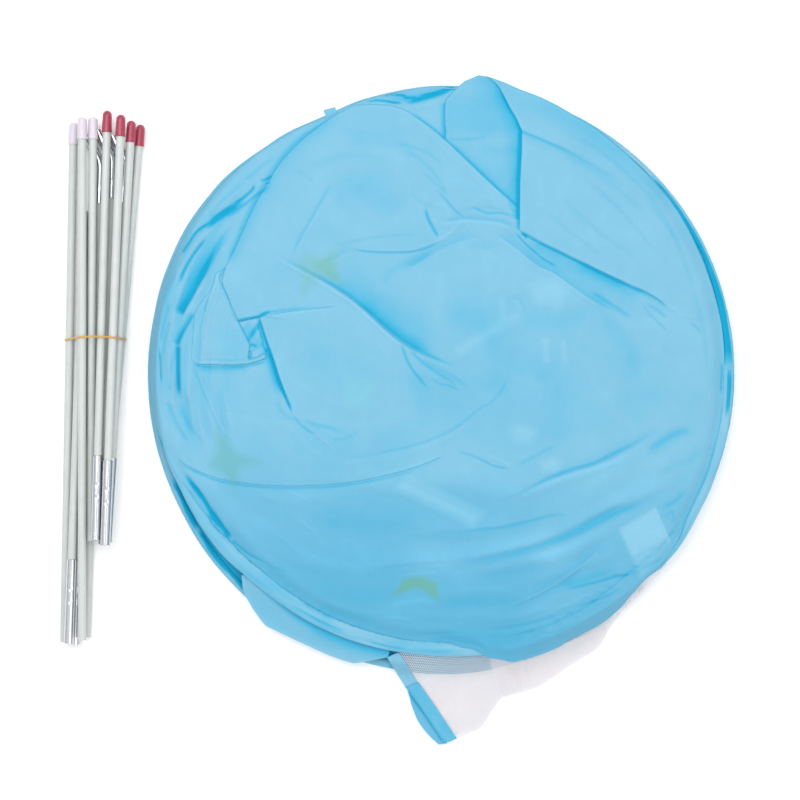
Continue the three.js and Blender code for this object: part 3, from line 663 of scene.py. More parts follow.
slit([(236.5, 321), (248, 318.6), (259, 316.4), (266, 313), (272.8, 310)], -0.8, 1.5, 0.90, 0.1, 0.25)
fold([(243, 326), (252, 338), (258, 350)], -0.2, 8.0, 8.0, 0.26, 8.0, 8.0, 0.02, 0.02, 4.0)
lip([(260, 326), (252, 336), (247, 345)], -0.5, 0.8, 3.0, 0.5)
# below the flap
crease([(193, 366), (199.7, 383), (208.9, 405.8), (218, 426), (228, 441)], -0.6, 1.4, 0.22, 1.3)
fold([(196, 366), (203, 384), (212, 405), (222, 426), (232, 441)], 0.9, 1.5, 9.0, -0.05, 1.2, 6.0)
fold([(196, 368), (220, 369.5), (250, 367.5)], -0.5, 1.0, 4.0, 0.24, 1.0, 3.0)
crease([(166, 398), (172, 414), (180, 430), (190, 446)], -0.8, 2.2, 0.22, 2.2)
crease([(180, 404), (186, 420), (196, 436), (206, 446)], -0.8, 2.6, 0.16, 2.6)
fold([(160, 398), (168, 402), (178, 402), (186, 404)], 0.6, 2.0, 3.0, -0.05)
# folds of the front cloth near its lower corner
crease([(291, 414), (300, 424), (309, 431), (318, 435)], -0.7, 1.6, 0.30, 1.4)
crease([(302, 419), (316, 425), (330, 428), (342, 434)], -0.6, 2.2, 0.22, 2.0)
crease([(305, 426), (318, 436), (330, 446), (334, 455)], 0.8, 1.6, -0.12, 1.2)
crease([(288, 424), (300, 438), (312, 450), (326, 458)], 0.6, 2.4, -0.06, 2.4)
crease([(276, 400), (282, 412), (296, 424)], -0.5, 2.0, 0.14, 2.0)
crease([(330, 436), (338, 440), (352, 436), (360, 430)], -0.5, 1.6, 0.14, 1.4)
# the big diagonal fold: high on its lower left, a valley on its upper right
fold([(263.7, 249.5), (282, 258), (298, 266.7), (329, 284), (356.7, 303), (391, 334), (411.8, 349), (436, 360), (458, 370)], -1.4, 16.0, 0.6, 0.0, t0=.3, t1=.15)
fold([(275, 254), (298, 266.2), (329, 283.4), (356.7, 302.4), (391, 333.4), (411.8, 348.4), (436, 359), (456, 368)], -0.9, 2.6, 0.6, 0.55, 2.0, 0.5, 0.25, 0.12)
fold([(310, 270), (334, 285), (360, 303), (391, 331), (414, 347), (440, 358)], -0.4, 16.0, 0.8, 0.42, 15.0, 0.7, 0.3, 0.2, 1.2)
fold([(350, 298), (372, 314), (394, 333), (414, 347), (438, 357)], -0.4, 7.0, 0.8, 0.42, 6.0, 0.8, 0.25, 0.25, 1.3)
fold([(268, 253), (298, 269), (329, 286.5), (356.7, 305.5), (391, 337), (411, 352)], 0.9, 0.8, 4.0, -0.16, 0.8, 1.8, 0.2, 0.2)
fold([(352, 290), (378, 300), (408, 318), (440, 336)], -0.5, 12.0, 6.0, 0.12, 12.0, 8.0, 0.35, 0.3)
crease([(401, 343), (404, 352), (410, 366), (424, 384), (432, 391)], -0.8, 1.6, 0.45, 1.3, 0.12, 0.3)
crease([(410, 350), (422, 362), (436, 372), (452, 382), (460, 390)], -0.8, 1.8, 0.34, 1.5, 0.12, 0.3)
crease([(422, 360), (440, 370), (458, 380), (470, 390)], -0.6, 2.6, 0.18, 2.4)
crease([(430, 377), (440, 384), (450, 386), (462, 392)], -0.6, 1.4, 0.26, 1.2)
fold([(404, 366), (418, 390), (420, 412), (410, 430)], -0.5, 14, 8, 0.10, 12, 8, 0.3, 0.4)
# creases of the big cloth
crease([(291, 258), (300, 238), (312, 217), (324, 196), (334, 180)], -0.7, 1.6, 0.24, 1.4)
crease([(294, 258), (303, 239), (315, 218), (327, 198)], 0.5, 1.6, -0.08, 1.2)
crease([(338, 246), (356, 241), (390, 236), (420, 235)], -0.4, 1.6, 0.12, 1.4)
crease([(346, 248.5), (372, 252), (400, 252.5), (413, 251.7), (428, 247.5), (440, 241)], -0.8, 1.3, 0.38, 1.1, 0.2, 0.1)
fold([(346, 247), (372, 250.5), (400, 250.5), (413, 249.5), (428, 245), (441, 238.5), (450, 232), (461, 222)], 0.7, 1.2, 1.0, -0.12, 1.0, 0.8)
crease([(382, 290), (388, 276), (398, 268), (416, 260), (436, 250)], -0.5, 5.0, 0.18, 4.5)
crease([(311, 270), (330, 260), (352, 248)], -0.5, 1.5, 0.18, 1.3)
crease([(330, 241), (344, 246), (338, 252), (322, 262)], -0.3, 1.2, 0.10, 1.1)
crease([(425, 206), (428, 218), (433, 228), (438.5, 237.5)], -1.0, 1.8, 0.62, 1.5, 0.25, 0.12)
crease([(436, 190), (445, 199), (456.7, 212), (465, 217.5)], -0.6, 1.1, 0.38, 1.0)
crease([(434, 206), (444, 205), (449, 214), (446, 222)], 0.6, 2.2, -0.10, 2.0)
crease([(399, 148), (418, 158), (436, 176), (450, 200)], -0.6, 1.8, 0.14, 1.6)
crease([(392, 143), (412, 147), (430, 154), (446, 170)], -0.4, 1.8, 0.14, 1.6)
crease([(424, 172), (436, 184), (448, 196)], -0.5, 1.6, 0.16, 1.5)
crease([(410, 192), (422, 203), (436, 208)], -0.5, 2.0, 0.10, 1.8)
crease([(470, 206), (486.7, 213), (500, 213), (517, 216.5)], -0.6, 1.2, 0.40, 1.1)
crease([(452, 216), (470, 209), (490, 208), (512, 212)], -0.4, 2.0, 0.12, 1.8)
crease([(300, 176), (330, 160), (360, 156), (390, 163)], -0.4, 4.0, 0.08, 4.0)
crease([(344, 140), (366, 143), (390, 143), (420, 150)], -0.4, 5.0, 0.10, 5.0)
crease([(336, 128), (360, 134), (388, 134), (412, 132)], -0.4, 5.0, 0.08, 5.0)
crease([(296, 170), (304, 176), (314, 182)], -0.3, 2.0, 0.08, 2.0)
fold([(400, 118), (424, 134), (452, 160), (480, 186), (506, 210)], -0.3, 1.5, 6, 0.06)
fold([(300, 170), (340, 150), (380, 150), (410, 168)], 1.2, 16, 16, -0.03)
fold([(330, 205), (352, 190), (378, 196), (404, 216)], -0.8, 16, 16, 0.10)
# ridge of the central cloth and the small folds at its right
fold([(438, 222.5), (450, 221.7), (463, 219.7), (480, 220.8), (503, 224), (515, 231)], 1.0, 0.9, 7.0, -0.14, 0.8, 3.0, 0.1, 0.1)
fold([(438, 221.5), (450, 220.4), (463, 218.2), (480, 219), (503, 222), (516, 229.5)], -0.6, 4.0, 0.6, 0.20, 3.0, 0.6)
crease([(462, 221), (452, 232), (441, 240), (428, 246)], 0.7, 1.8, -0.10, 1.5)
crease([(463, 221), (468, 226), (471, 233)], 0.4, 1.2, -0.08, 1.0)
fold([(400, 273), (416.7, 263), (441.7, 248), (465, 240), (484, 236)], -0.7, 7.0, 1.0, 0.20, 6.0, 1.0, 0.2, 0.3)
crease([(456, 243), (470, 240), (480, 241)], 0.4, 1.0, -0.12, 1.0)
fold([(462, 248), (478, 247), (494, 246), (508, 244)], -0.3, 4.0, 3.0, 0.12, 4.0, 3.0, 0.5, 0.5)
fold([(493, 233), (505, 240), (516.7, 248), (538, 265), (555, 273), (588, 296.7), (616.7, 313), (640, 326)], -0.9, 9.0, 0.8, 0.28, 8.0, 0.6, 0.12, 0.3, 1.4)
fold([(493, 234), (505, 241), (516.7, 249.2), (538, 266.2), (555, 274.4), (588, 298), (616.7, 314.4)], 0.7, 0.9, 3.0, -0.14, 0.8, 1.6, 0.12, 0.3)
crease([(514, 232), (520, 238), (526.7, 245), (541.7, 258), (549, 262.5), (557.5, 267)], -0.7, 1.0, 0.55, 0.9, 0.12, 0.12)
crease([(516, 236), (522, 243), (534, 254), (544, 261)], 0.5, 1.0, -0.14, 0.9)
crease([(521, 233.5), (525, 235.5), (527, 239)], -0.7, 1.2, 0.7, 1.1)
crease([(528, 239), (536, 243), (541, 241)], 0.5, 1.6, -0.12, 1.3)
crease([(533, 252), (541, 256), (548, 256)], 0.4, 1.2, -0.10, 1.0)
crease([(505, 233), (514, 244), (530, 256)], 0.4, 1.4, -0.08, 1.2)
# shade under the right cloth's lower edge
fold([(519, 231), (540, 242.6), (560, 252.4), (581, 262.8), (603, 273.6), (630, 286), (650, 295.6), (662, 305)], -0.5, 0.9, 1.6, 0.85, 0.5, 1.5, 0.04, 0.30, 2.2)
fold([(524, 236), (560, 252.4), (603, 273.6), (630, 286), (648, 295)], -0.5, 1.0, 16.0, 0.34, 0.6, 14.0, 0.15, 0.12, 1.5)
lip([(575, 258), (590, 266), (612, 277), (632, 286)], -0.6, 0.6, 7.5, 0.40, 0.25, 0.25)
lip([(632, 285), (650, 294), (662, 302), (670, 312)], -0.5, 0.6, 3.4, 0.30, 0.2, 0.3)
crease([(590, 291), (603, 299), (620, 310), (634, 319)], -0.6, 1.8, 0.30, 1.6)
crease([(646, 303), (657, 310), (668, 318)], -0.4, 1.6, 0.26, 1.5)
crease([(641, 302), (650, 314), (662, 326), (670, 334)], -0.5, 1.5, 0.22, 1.2)
crease([(690, 322), (697, 328), (702, 334)], -0.4, 1.3, 0.26, 1.1)
crease([(664, 305), (676, 309), (684, 318)], 0.6, 1.8, -0.10, 1.5)
crease([(508, 296), (520, 300), (526, 312)], -0.3, 1.6, 0.10, 1.5)
crease([(514, 298), (524, 312)], 0.3, 1.6, -0.08, 1.4)
fold([(610, 330), (650, 322), (690, 330), (712, 348)], 1.0, 14, 14, -0.05)
fold([(560, 330), (600, 345), (640, 380), (660, 420)], -0.8, 22, 22, 0.05)
fold([(520, 318), (548, 322), (580, 316), (612, 300)], -0.6, 12, 10, 0.12)
fold([(600, 316), (622, 334), (634, 360), (632, 384)], -0.6, 8, 10, 0.12)
fold([(436, 318), (470, 320), (494, 340), (498, 372), (486, 400)], -0.6, 16, 14, 0.14)
fold([(500, 360), (540, 372), (560, 410), (556, 448)], -0.6, 18, 16, 0.10)
fold([(470, 260), (510, 262), (560, 290), (600, 330)], 0.8, 14, 14, -0.03)
# right rim
crease([(721.5, 361), (721.8, 372), (721.2, 384), (720.8, 396)], -0.5, 0.9, 0.75, 0.7)
crease([(721, 396), (720.5, 424), (713, 452), (706.7, 473), (693, 504), (681, 528), (671, 544)], -0.6, 1.0, 0.40, 0.9)
# fine slanting pulls in the right cloth
for k, (a, b, c) in enumerate([((536, 140), (580, 156), (632, 190)), ((548, 146), (604, 178), (660, 226)), ((575, 168), (624, 214), (664, 262)), ((552, 190), (600, 232), (648, 268)), ((600, 150), (650, 196), (690, 262)), ((560, 128), (600, 150), (640, 182)), ((538, 205), (575, 236), (610, 262)), ((690, 280), (704, 330), (708, 380)), ((640, 190), (676, 240), (697, 300))]):
    crease([a, b, c], -0.45 - 0.12 * (k % 3), 2.0 + (k % 2), 0.09, 2.2, 0.3, 0.3)
# the seam of the upper panel that shows through, drawn as a shallow crease with painted shade
crease([(335, 461), (370, 455), (415.5, 444.8), (450, 431), (480, 409), (489, 404), (500, 393), (507, 380), (510, 368)], -0.5, 1.1, 0.22, 1.0, 0.3, 0.12)
fold([(335, 465), (370, 459), (415.5, 449), (452, 434), (482, 414)], 0.5, 2.0, 5.0, -0.06, 1.5, 4)
crease([(456, 451), (470, 455), (480, 459), (495.6, 466.7), (513, 469)], -0.8, 1.2, 0.36, 1.0, 0.2, 0.2)
crease([(486, 455), (500, 460), (514, 468)], 0.7, 2.4, -0.12, 2.2)
crease([(513, 469), (520, 464), (538, 455), (557.8, 444)], -0.4, 1.8, 0.18, 1.6)
fold([(173, 459), (186, 467), (215.8, 479.6), (238.7, 484.4), (268.6, 487.2), (300.7, 487.6), (335, 486), (369.6, 481), (415.5, 469.6), (456, 452.4)], -0.6, 0.8, 2.6, 0.48, 0.6, 1.6, 0.1, 0.35)
# painted deep shade on the lower cloth where a cloth's edge lies on it
fold([(446, 141), (444.5, 120), (445, 101)], 0.0, 3.4, 0.4, 0.62, 3.4, 0.4, 0.12, 0.12)
fold([(408, 111), (427, 124.5), (446, 140), (480, 172.5), (519, 209)], 0.0, 2.2, 0.4, 0.50, 2.2, 0.4, 0.1, 0.04)
fold([(446, 140), (480, 172.5), (519, 209)], 0.0, 7.0, 0.4, 0.14, 7.0, 0.4, 0.2, 0.1)
fold([(192, 363.5), (206, 366), (218, 366.5), (238, 366.2), (252, 364.4), (267, 360.6)], 0.0, 0.5, 1.8, 0.62, 0.5, 1.8, 0.1, 0.1)
fold([(209, 293), (200, 304), (194.2, 316), (192.4, 336), (191.2, 356)], 0.0, 1.2, 0.4, 0.25, 1.2, 0.4, 0.2, 0.2)
fold([(258.6, 315.4), (272, 312.4), (290, 310), (327.5, 305.8)], 0.0, 1.8, 0.4, 0.45, 1.8, 0.4, 0.05, 0.5)
fold([(519, 231), (519.4, 205), (519.6, 180), (521, 150), (521.2, 131)], 0.0, 2.6, 0.4, 0.75, 2.6, 0.4, 0.04, 0.04)
# doubled and slack places: broad patches of painted shade, painted light where the tint is negative, and doubled cloth
# where it has an imaginary part
for pts, w, t in [
    ([(440, 385), (480, 405), (520, 420)], 34, 0.08 + 0.04j), ([(240, 470), (320, 466), (400, 452)], 20, 0.06 + 0.05j), ([(260, 440), (330, 448)], 20, 0.05),
    ([(430, 560), (480, 558), (540, 545)], 24, -0.06 - 0.10j), ([(160, 330), (156, 380), (160, 430)], 9, -0.06), ([(300, 350), (350, 380)], 24, 0.04),
    ([(470, 300), (500, 320)], 30, 0.05), ([(560, 380), (600, 410)], 30, 0.03), ([(620, 500), (660, 470)], 16, -0.05), ([(310, 330), (380, 360)], 20, 0.04),
    ([(540, 635), (500, 640), (440, 640)], 10, 0.10j), ([(560, 625), (600, 600)], 12, 0.06j),
]:
    fold(pts, 0.0, w, w, t, w, w, 0.0, 0.0)
# long soft folds of the lower wall, round the lower right
LONG = [
    ([(489, 502), (509, 498), (531, 486.7), (553, 475.6), (575.6, 467.8), (595.6, 462), (617.8, 451), (640, 440), (662, 425.6)], -0.9, 1.2, 2.6, 0.34, 0.9, 2.4),
    ([(520, 492), (553, 476), (595.6, 462), (640, 440), (668, 424)], -1.0, 7, 3, 0.16, 6, 3),
    ([(514, 498), (540, 486), (576, 473), (610, 463), (644, 446)], 1.3, 4, 6, -0.12, 3, 4),
    ([(644, 458), (657.8, 444), (680, 432), (698, 433)], -1.2, 5, 5, 0.34, 4, 5),
    ([(632, 470), (660, 462), (676, 450), (690, 446)], 0.8, 5, 5, -0.05, 4, 4),
    ([(650, 480), (676, 466), (696, 456), (704, 440)], -0.5, 4, 4, 0.14, 4, 4),
    ([(450, 534), (480, 529), (502, 526.7), (535.6, 519), (557.8, 514), (576, 517.8)], -0.7, 1.0, 2.6, 0.34, 0.8, 2.2),
    ([(400, 540), (440, 534), (480, 531), (520, 525), (560, 517)], -0.6, 2, 10, 0.14, 2, 9),
    ([(480, 548), (520, 544), (560, 534), (600, 514)], 0.8, 8, 8, -0.06, 6, 6),
    ([(430, 566), (480, 560), (502, 555.6), (535.6, 546.7), (568.9, 533), (591, 522), (613, 511), (635.6, 504), (657.8, 493), (671, 489)], -1.8, 4.0, 6.5, 0.50, 3.4, 6.0),
    ([(540, 548), (580, 532), (620, 512), (650, 500)], -0.6, 2.0, 3.0, 0.20, 1.6, 2.6),
    ([(660, 509), (676, 500), (688, 488)], -0.6, 2.0, 3.0, 0.26, 1.8, 3.0),
    ([(664, 520), (672, 512), (676, 528)], -0.5, 2.0, 3.0, 0.18, 2, 3.0),
    ([(520, 562), (556, 554), (584, 540), (606, 524)], 0.9, 8, 8, -0.10, 6, 6),
    ([(520, 602), (546.7, 589), (568.9, 575.6), (591, 557.8), (613, 537.8), (618, 533)], 1.0, 1.0, 1.0, -0.20, 0.8, 0.8),
    ([(500, 608), (546.7, 587), (568.9, 573), (591, 555), (613, 535.5)], -0.7, 7.0, 0.8, 0.16, 6.0, 0.8),
    ([(493, 613), (520, 604.5), (546.7, 591.5), (568.9, 578), (591, 560.5)], -0.8, 0.8, 5.0, 0.22, 0.8, 4.5),
    ([(430, 606), (480, 602), (513, 601), (530, 594)], -1.2, 7, 5, 0.34, 7, 5),
    ([(470, 578), (510, 572), (552, 560)], -0.8, 6, 7, 0.20, 6, 7),
    ([(557.8, 591), (580, 586.7), (602, 581), (622, 575.6), (640, 576.7)], -1.2, 1.6, 1.0, 0.60, 2.0, 0.9),
    ([(552, 588), (580, 582), (602, 575), (620, 570)], -1.0, 7, 2, 0.34, 6, 2),
    ([(585, 566), (604, 556), (622, 546)], 0.8, 7, 7, -0.10, 6, 6),
    ([(569, 609), (591, 602), (613, 593), (627, 582)], -0.7, 1.0, 1.4, 0.42, 0.9, 1.2),
    ([(480, 631), (513, 626.7), (542, 620), (569, 611)], -0.8, 1.4, 1.4, 0.40, 1.2, 1.2),
    ([(408, 634), (440, 634), (480, 631.5)], -0.6, 1.4, 1.4, 0.26, 1.2, 1.2),
    ([(500, 637), (533, 631), (553, 633), (573, 624), (591, 616)], -0.5, 1.0, 1.2, 0.30, 0.9, 1.0),
    ([(545, 612), (570, 604), (592, 594)], 0.6, 2.4, 2.4, -0.10, 2, 2),
    ([(569, 600), (590, 594), (608, 586)], 0.5, 2.0, 2.0, -0.10, 1.6, 1.6),
    ([(480, 622), (520, 616), (552, 604)], 0.6, 4.0, 4.0, -0.08, 3, 3),
    ([(416, 626), (450, 626), (476, 622)], 0.5, 3.0, 3.0, -0.06, 3, 3),
    ([(564, 617.8), (568, 613), (576, 611)], -0.4, 1.0, 1.0, 0.30, 0.9, 0.9),
    ([(637, 573), (648, 566), (655.6, 562), (663, 555)], -0.6, 1.2, 1.2, 0.55, 1.0, 1.0),
    ([(628, 566), (640, 566), (650, 562)], -0.5, 1.4, 1.4, 0.30, 1.2, 1.2),
    ([(618, 577), (630, 574), (641, 570)], -0.5, 1.2, 1.2, 0.30, 1.1, 1.1),
    ([(632, 560), (644, 556), (660, 552)], 0.5, 1.6, 1.6, -0.12, 1.4, 1.4),
    ([(300, 508), (340, 522), (400, 524), (440, 516)], -0.8, 12, 12, 0.16, 12, 12),
    ([(236, 492), (270, 498), (310, 498), (350, 496)], 0.8, 5, 5, -0.06, 5, 5),
    ([(270, 540), (310, 560), (360, 566), (410, 560)], 1.2, 9, 9, -0.10, 8, 8),
    ([(230, 520), (262, 545), (290, 560)], 0.6, 5, 5, -0.05, 5, 5),
    ([(300, 580), (340, 594), (380, 596), (410, 590)], -1.2, 10, 10, 0.24, 9, 9),
    ([(262, 563), (275, 569), (290, 572)], -0.6, 2.4, 2.4, 0.26, 2.2, 2.2),
    ([(310, 604), (350, 616), (390, 622)], -0.8, 4, 7, 0.22, 4, 7),
    ([(372, 616), (390, 606), (420, 602), (450, 606)], 0.8, 4, 4, -0.08, 4, 4),
    ([(376, 620), (394, 618), (420, 622)], 0.6, 2.4, 2.4, -0.08, 2, 2),
    ([(290, 514), (310, 528), (322, 538)], 0.4, 2.0, 2.0, -0.08, 2, 2),
    ([(262, 528), (288, 548), (310, 566)], -0.4, 2.4, 2.4, 0.08, 2.4, 2.4),
    ([(284, 490), (300, 496), (312, 503)], 0.4, 1.4, 1.4, -0.10, 1.2, 1.2),
    ([(369.6, 572), (400, 566), (460, 560)], -0.4, 1.4, 2.0, 0.12, 1.4, 2.0),
    ([(386, 578), (420, 574), (450, 572)], 0.4, 1.6, 1.6, -0.08, 1.5, 1.5),
]
# the rim seam as a shallow crease with painted shade, and short puckers across it with faint painted shade
SEAM_R = table([(28, 279.5), (36, 277.5), (42, 273.5), (47, 270), (52, 270), (58, 271), (66, 270), (74, 268), (80, 266.5)])
seam_a = np.arange(30, 79, 2.0)
slit(np.stack([PC[0] + SEAM_R(seam_a) * np.cos(np.radians(seam_a)), PC[1] + SEAM_R(seam_a) * np.sin(np.radians(seam_a))], 1), -0.5, 0.9, 0.42, 0.12, 0.12)
for k, b in enumerate([33.5, 38.0, 41.0, 43.6, 45.6, 48.0, 50.6, 53.0, 56.0, 59.0, 61.0, 64.5, 67.5, 70.0, 73.5, 76.0]):
    ra, rb = SEAM_R(np.array([b]))[0] - 9 - 3 * (k % 3), SEAM_R(np.array([b]))[0] + 11
    arc = [(PC[0] + r * math.cos(math.radians(b + d)), PC[1] + r * math.sin(math.radians(b + d))) for r, d in ((ra, 2.6), (ra + 7, 1.1), (ra + 14, 0.1), (rb, -0.6))]
    fold(arc, -0.5, 1.1, 2.2, 0.09 + 0.03 * (k % 3), 1.0, 2.4, 0.5, 0.45)
for pts, h, wl, wr, t, tl, tr in LONG:
    fold(pts, h, wl, wr, t * 1.05, tl, tr, 0.3, 0.3)
# slits between the sleeve and the cloth at the lower left, with painted deep shade in them
slit([(183.5, 471), (189, 480), (196.7, 490), (204, 500), (210, 510), (216.5, 520), (224.8, 530), (232, 540.5)], -1.8, 2.1, 1.15, 0.22, 0.1)
slit([(209, 508), (216.5, 520), (224, 529)], -0.8, 3.6, 0.80, 0.4, 0.4)
slit([(190, 482), (196.7, 490), (204, 500)], -0.5, 2.6, 0.40, 0.4, 0.4)
crease([(232, 540), (241, 548), (250, 555), (263, 561.7), (276, 566)], -1.0, 1.3, 0.75, 1.1, 0.05, 0.5)
fold([(186, 430), (196, 462), (214, 490), (236, 520), (262, 548)], 0.6, 5, 5, -0.04)

# what shows faintly through the cloth: stars of a print and pale tapes inside
GHOSTS = [
    ([(304, 253), (322, 256), (343, 247), (331, 262), (341, 284), (322, 275), (302, 296), (302, 276), (297, 265)], (0.17, 0.46, 0.31), 0.30, 5.0),
    ([(316, 262), (328, 258), (337, 257), (336, 266), (340, 282), (330, 278), (318, 270)], (0.20, 0.46, 0.26), 0.30, 4.0),
    ([(392.5, 596.5), (404, 579), (420, 576.5), (437, 583), (438.5, 601), (426, 592), (415.5, 587.5), (404, 592)], (0.15, 0.42, 0.27), 0.66, 2.6),
    ([(216, 430), (226, 438), (236, 452), (262, 463), (240, 468), (235, 487), (222, 472), (210, 466), (217, 450)], (0.12, 0.42, 0.36), 0.42, 5.0),
    ([(347, 378), (372, 384), (366, 408), (348, 404)], (0.22, 0.62, 0.66), 0.35, 8.0),
    ([(394, 489), (409, 476), (486, 512), (474, 528)], (0.33, 0.64, 0.80), 0.27, 3.4),
    ([(398, 486), (402, 482), (476, 516), (473, 521)], (0.36, 0.68, 0.84), 0.15, 1.5),
    ([(619.5, 529.5), (654.6, 508.5), (666, 538), (632, 556)], (0.36, 0.66, 0.82), 0.30, 2.2),
    ([(619.5, 529.5), (654.6, 508.5), (670.5, 543), (642, 578)], (0.36, 0.66, 0.82), 0.28, 3.0),
    ([(654.0, 508.5), (655.5, 508.5), (670.5, 541), (668.5, 542)], (0.42, 0.72, 0.88), 0.35, 1.2),
    ([(455, 349), (459, 356), (522, 318), (518, 309)], (0.36, 0.67, 0.82), 0.20, 4.0),
    ([(530, 286), (552, 279), (566, 292), (558, 306), (536, 302)], (0.36, 0.69, 0.86), 0.26, 6.0),
    ([(498, 300), (505, 296), (507, 318), (500, 322)], (0.34, 0.68, 0.82), 0.16, 2.5),
    ([(543, 339), (548, 338), (549, 362), (544, 363)], (0.38, 0.66, 0.82), 0.24, 2.4),
    ([(561, 342), (565, 341), (567, 361), (563, 362)], (0.38, 0.66, 0.82), 0.24, 2.4),
    ([(510, 430), (522, 425), (536, 430), (532, 442), (514, 443)], (0.36, 0.69, 0.84), 0.25, 5.0),
    ([(541, 462), (552, 458), (561, 463), (555, 472), (543, 471)], (0.40, 0.67, 0.80), 0.25, 4.0),
]


def sculpt(u, v):
    """Height in mm of the top cloth from its folds, and the folds' painted shade and highlights as a tint."""
    z, t = np.zeros(u.shape), np.zeros(u.shape, complex)
    for pts, h, wl, wr, tint, tl, tr, t0, t1, p in FOLDS:
        reach = 3.2 * max(wl, wr, tl, tr)
        m = (u > pts[:, 0].min() - reach) & (u < pts[:, 0].max() + reach) & (v > pts[:, 1].min() - reach) & (v < pts[:, 1].max() + reach)
        if not m.any():
            continue
        d, s = near(u[m], v[m], pts)
        w = np.where(d < 0, wl, wr)
        end = smooth(s, -1e-6, t0) * smooth(1 - s, -1e-6, t1)
        if h:
            z[m] += h * end * np.exp(-((np.abs(d) / w) ** p))
        if tint:
            w = np.where(d < 0, tl, tr)
            t[m] += tint * end * np.exp(-((np.abs(d) / w) ** p))
    return z, t


def polar(u, v):
    return np.hypot(u - PC[0], v - PC[1]), np.degrees(np.arctan2(v - PC[1], u - PC[0])) % 360


# share of the top sleeve that the cloth covers, by the angle
COVER = table([(0, 0.0), (30, 0.0), (36, 0.5), (40, 1.0), (58, 1.0), (64, 0.92), (70, 0.62), (75, 0.30), (80, 0.08), (85, 0.0), (120, 0.0), (140, 0.0), (154, 0.0), (163, 0.5), (170, 1.0), (200, 1.0), (240, 1.0), (262, 1.0), (272, 1.0), (280, 0.3), (288, 0.0), (300, 0.0), (330, 0.0)])


OVER_R = table([(28, 291.5), (36, 290.5), (40, 288.8), (45, 287.2), (48.5, 288.6), (52.5, 292.0), (56, 293.6), (62, 293.8), (70, 294.6), (75.5, 294.2), (78.5, 290.5), (84, 284), (90, 282.0), (120, 281), (150, 286), (163, 289.0), (180, 291), (200, 293.0), (210, 293.0), (220, 292), (235, 287.8), (246, 284.8), (256, 287.2), (270, 290.2), (285, 292), (300, 293)])


# how far the wall cloth's loose edge comes out over the sleeve at the lower right
LAP = table([(30, 0.0), (60, 0.0), (66, 1.0), (76, 1.0), (80, 0.85), (85, 0.35), (89, 0.0), (120, 0.0)])


def rim_edge(a):
    """Where the top cloth ends: sewn to the sleeve's inner edge, or lying over it."""
    c = np.maximum(COVER(a), LAP(a))
    return (TOP_IN(a) + 1.2 - 0.9 * turn_in(a, 315, 360, 4)) * (1 - c) + OVER_R(a) * c


def ridge(x, y, seed, sharp=7):
    """Thin raised lines, as pressed creases leave."""
    return (1 - np.abs(noise(x, y, seed))) ** sharp


def bed(u, v):
    """The top cloth without its overlapping pieces: height in mm, and tint, which holds painted shade and highlights.
    """
    r, a = polar(u, v)
    edge = rim_edge(a) - r  # inward from the cloth's own edge
    cov = COVER(a)
    z = 28.0 + 3.4 * smooth(edge, 1.0, 14) * (1 - cov) + (1.6 + 1.8 * smooth(edge, 3, 14)) * cov + 1.2 * smooth(edge, 20, 120)
    z = z - cov * (8.6 * smooth(r - TOP_OUT(a), -3.5, 5.0) + 6.5 * smooth(r - TOP_OUT(a), 3.0, 11.0))
    # broad lie of the heap inside, and long folds that run round the rim
    inner = smooth(edge, 8, 60)
    z = z + 1.3 * inner * fbm(u / 95.0, v / 95.0, 3) + 0.45 * inner * fbm(u / 34.0, v / 34.0, 5)
    ru, rv = u - 455, v - 205
    rad, ang = np.hypot(ru, rv), np.arctan2(rv, ru)
    low = smooth(v, 440, 520) * smooth(edge, 4, 26)
    slack = smooth(r, 60, 200)
    z = z + low * (1.1 * noise(rad / 17.0, ang * 3.2, 7) + 0.5 * noise(rad / 7.5, ang * 5.5, 8))
    left = smooth(250 - u, 0, 40) * smooth(edge, 1, 8) * smooth(470 - v, 0, 60)
    z = z + left * (1.0 * noise(r / 6.0, a / 14.0, 9) + 0.5 * noise(r / 3.0, a / 8.0, 10))
    # pressed creases and fine pulls
    cr = ridge(u / 60.0 + v / 90.0, v / 55.0 - u / 120.0, 15) + 0.7 * ridge(u / 27.0 - v / 70.0, v / 36.0 + u / 80.0, 16)
    z = z + 0.30 * cr * inner
    z = z + 0.13 * fbm(u / 7.0 + v / 19.0, v / 24.0 - u / 40.0, 12) * smooth(edge, 2, 10) + 0.05 * noise(u / 3.0, v / 3.2, 14)
    dz, t = sculpt(u, v)
    # cloth is doubled low down, so it is darker and deeper in colour there, partly as painted shade
    t = t + 1j * (0.20 * smooth(v + 0.06 * (u - 440), 445, 590) + 0.11 * smooth(v, 470, 498) * smooth(560 - u, 0, 60) + 0.05)
    # painted shade in the dips of the low folds and of the left folds, lighter on their crests
    t = t + low * 0.10 * np.clip(-noise(rad / 17.0, ang * 3.2, 7), -0.5, 1) + left * (0.05 - 0.17 * noise(r / 6.0, a / 14.0, 9))
    gather = turn_in(a, 95, 158, 6) * (1 - smooth(edge, 0, 7 + 3 * noise(a / 3.0, 0 * a, 42)))
    z = z + gather * 0.5 * noise(a * 1.3, edge / 16.0, 40)
    # painted shade in the gathers at the lower left and a painted shade line along the cloth's sewn edge there
    t = t + gather * 0.34 * np.maximum(0, noise(a * 1.3 + 0.06 * edge, edge / 16.0, 41)) + 0.40 * turn_in(a, 100, 158, 6) * np.exp(-((edge / 1.0) ** 2))
    # painted shade near the cloth's own edge, a little more at the left, and faint painted highlights on the pressed
    # creases
    t = t + 0.10 * (1 - smooth(edge, 0, 12)) * (1 - cov) + cov * (0.04 + 0.04 * (1 - smooth(edge, 0, 9))) * smooth(255 - u, 0, 40) - 0.035 * cr * inner
    return z + dz, t


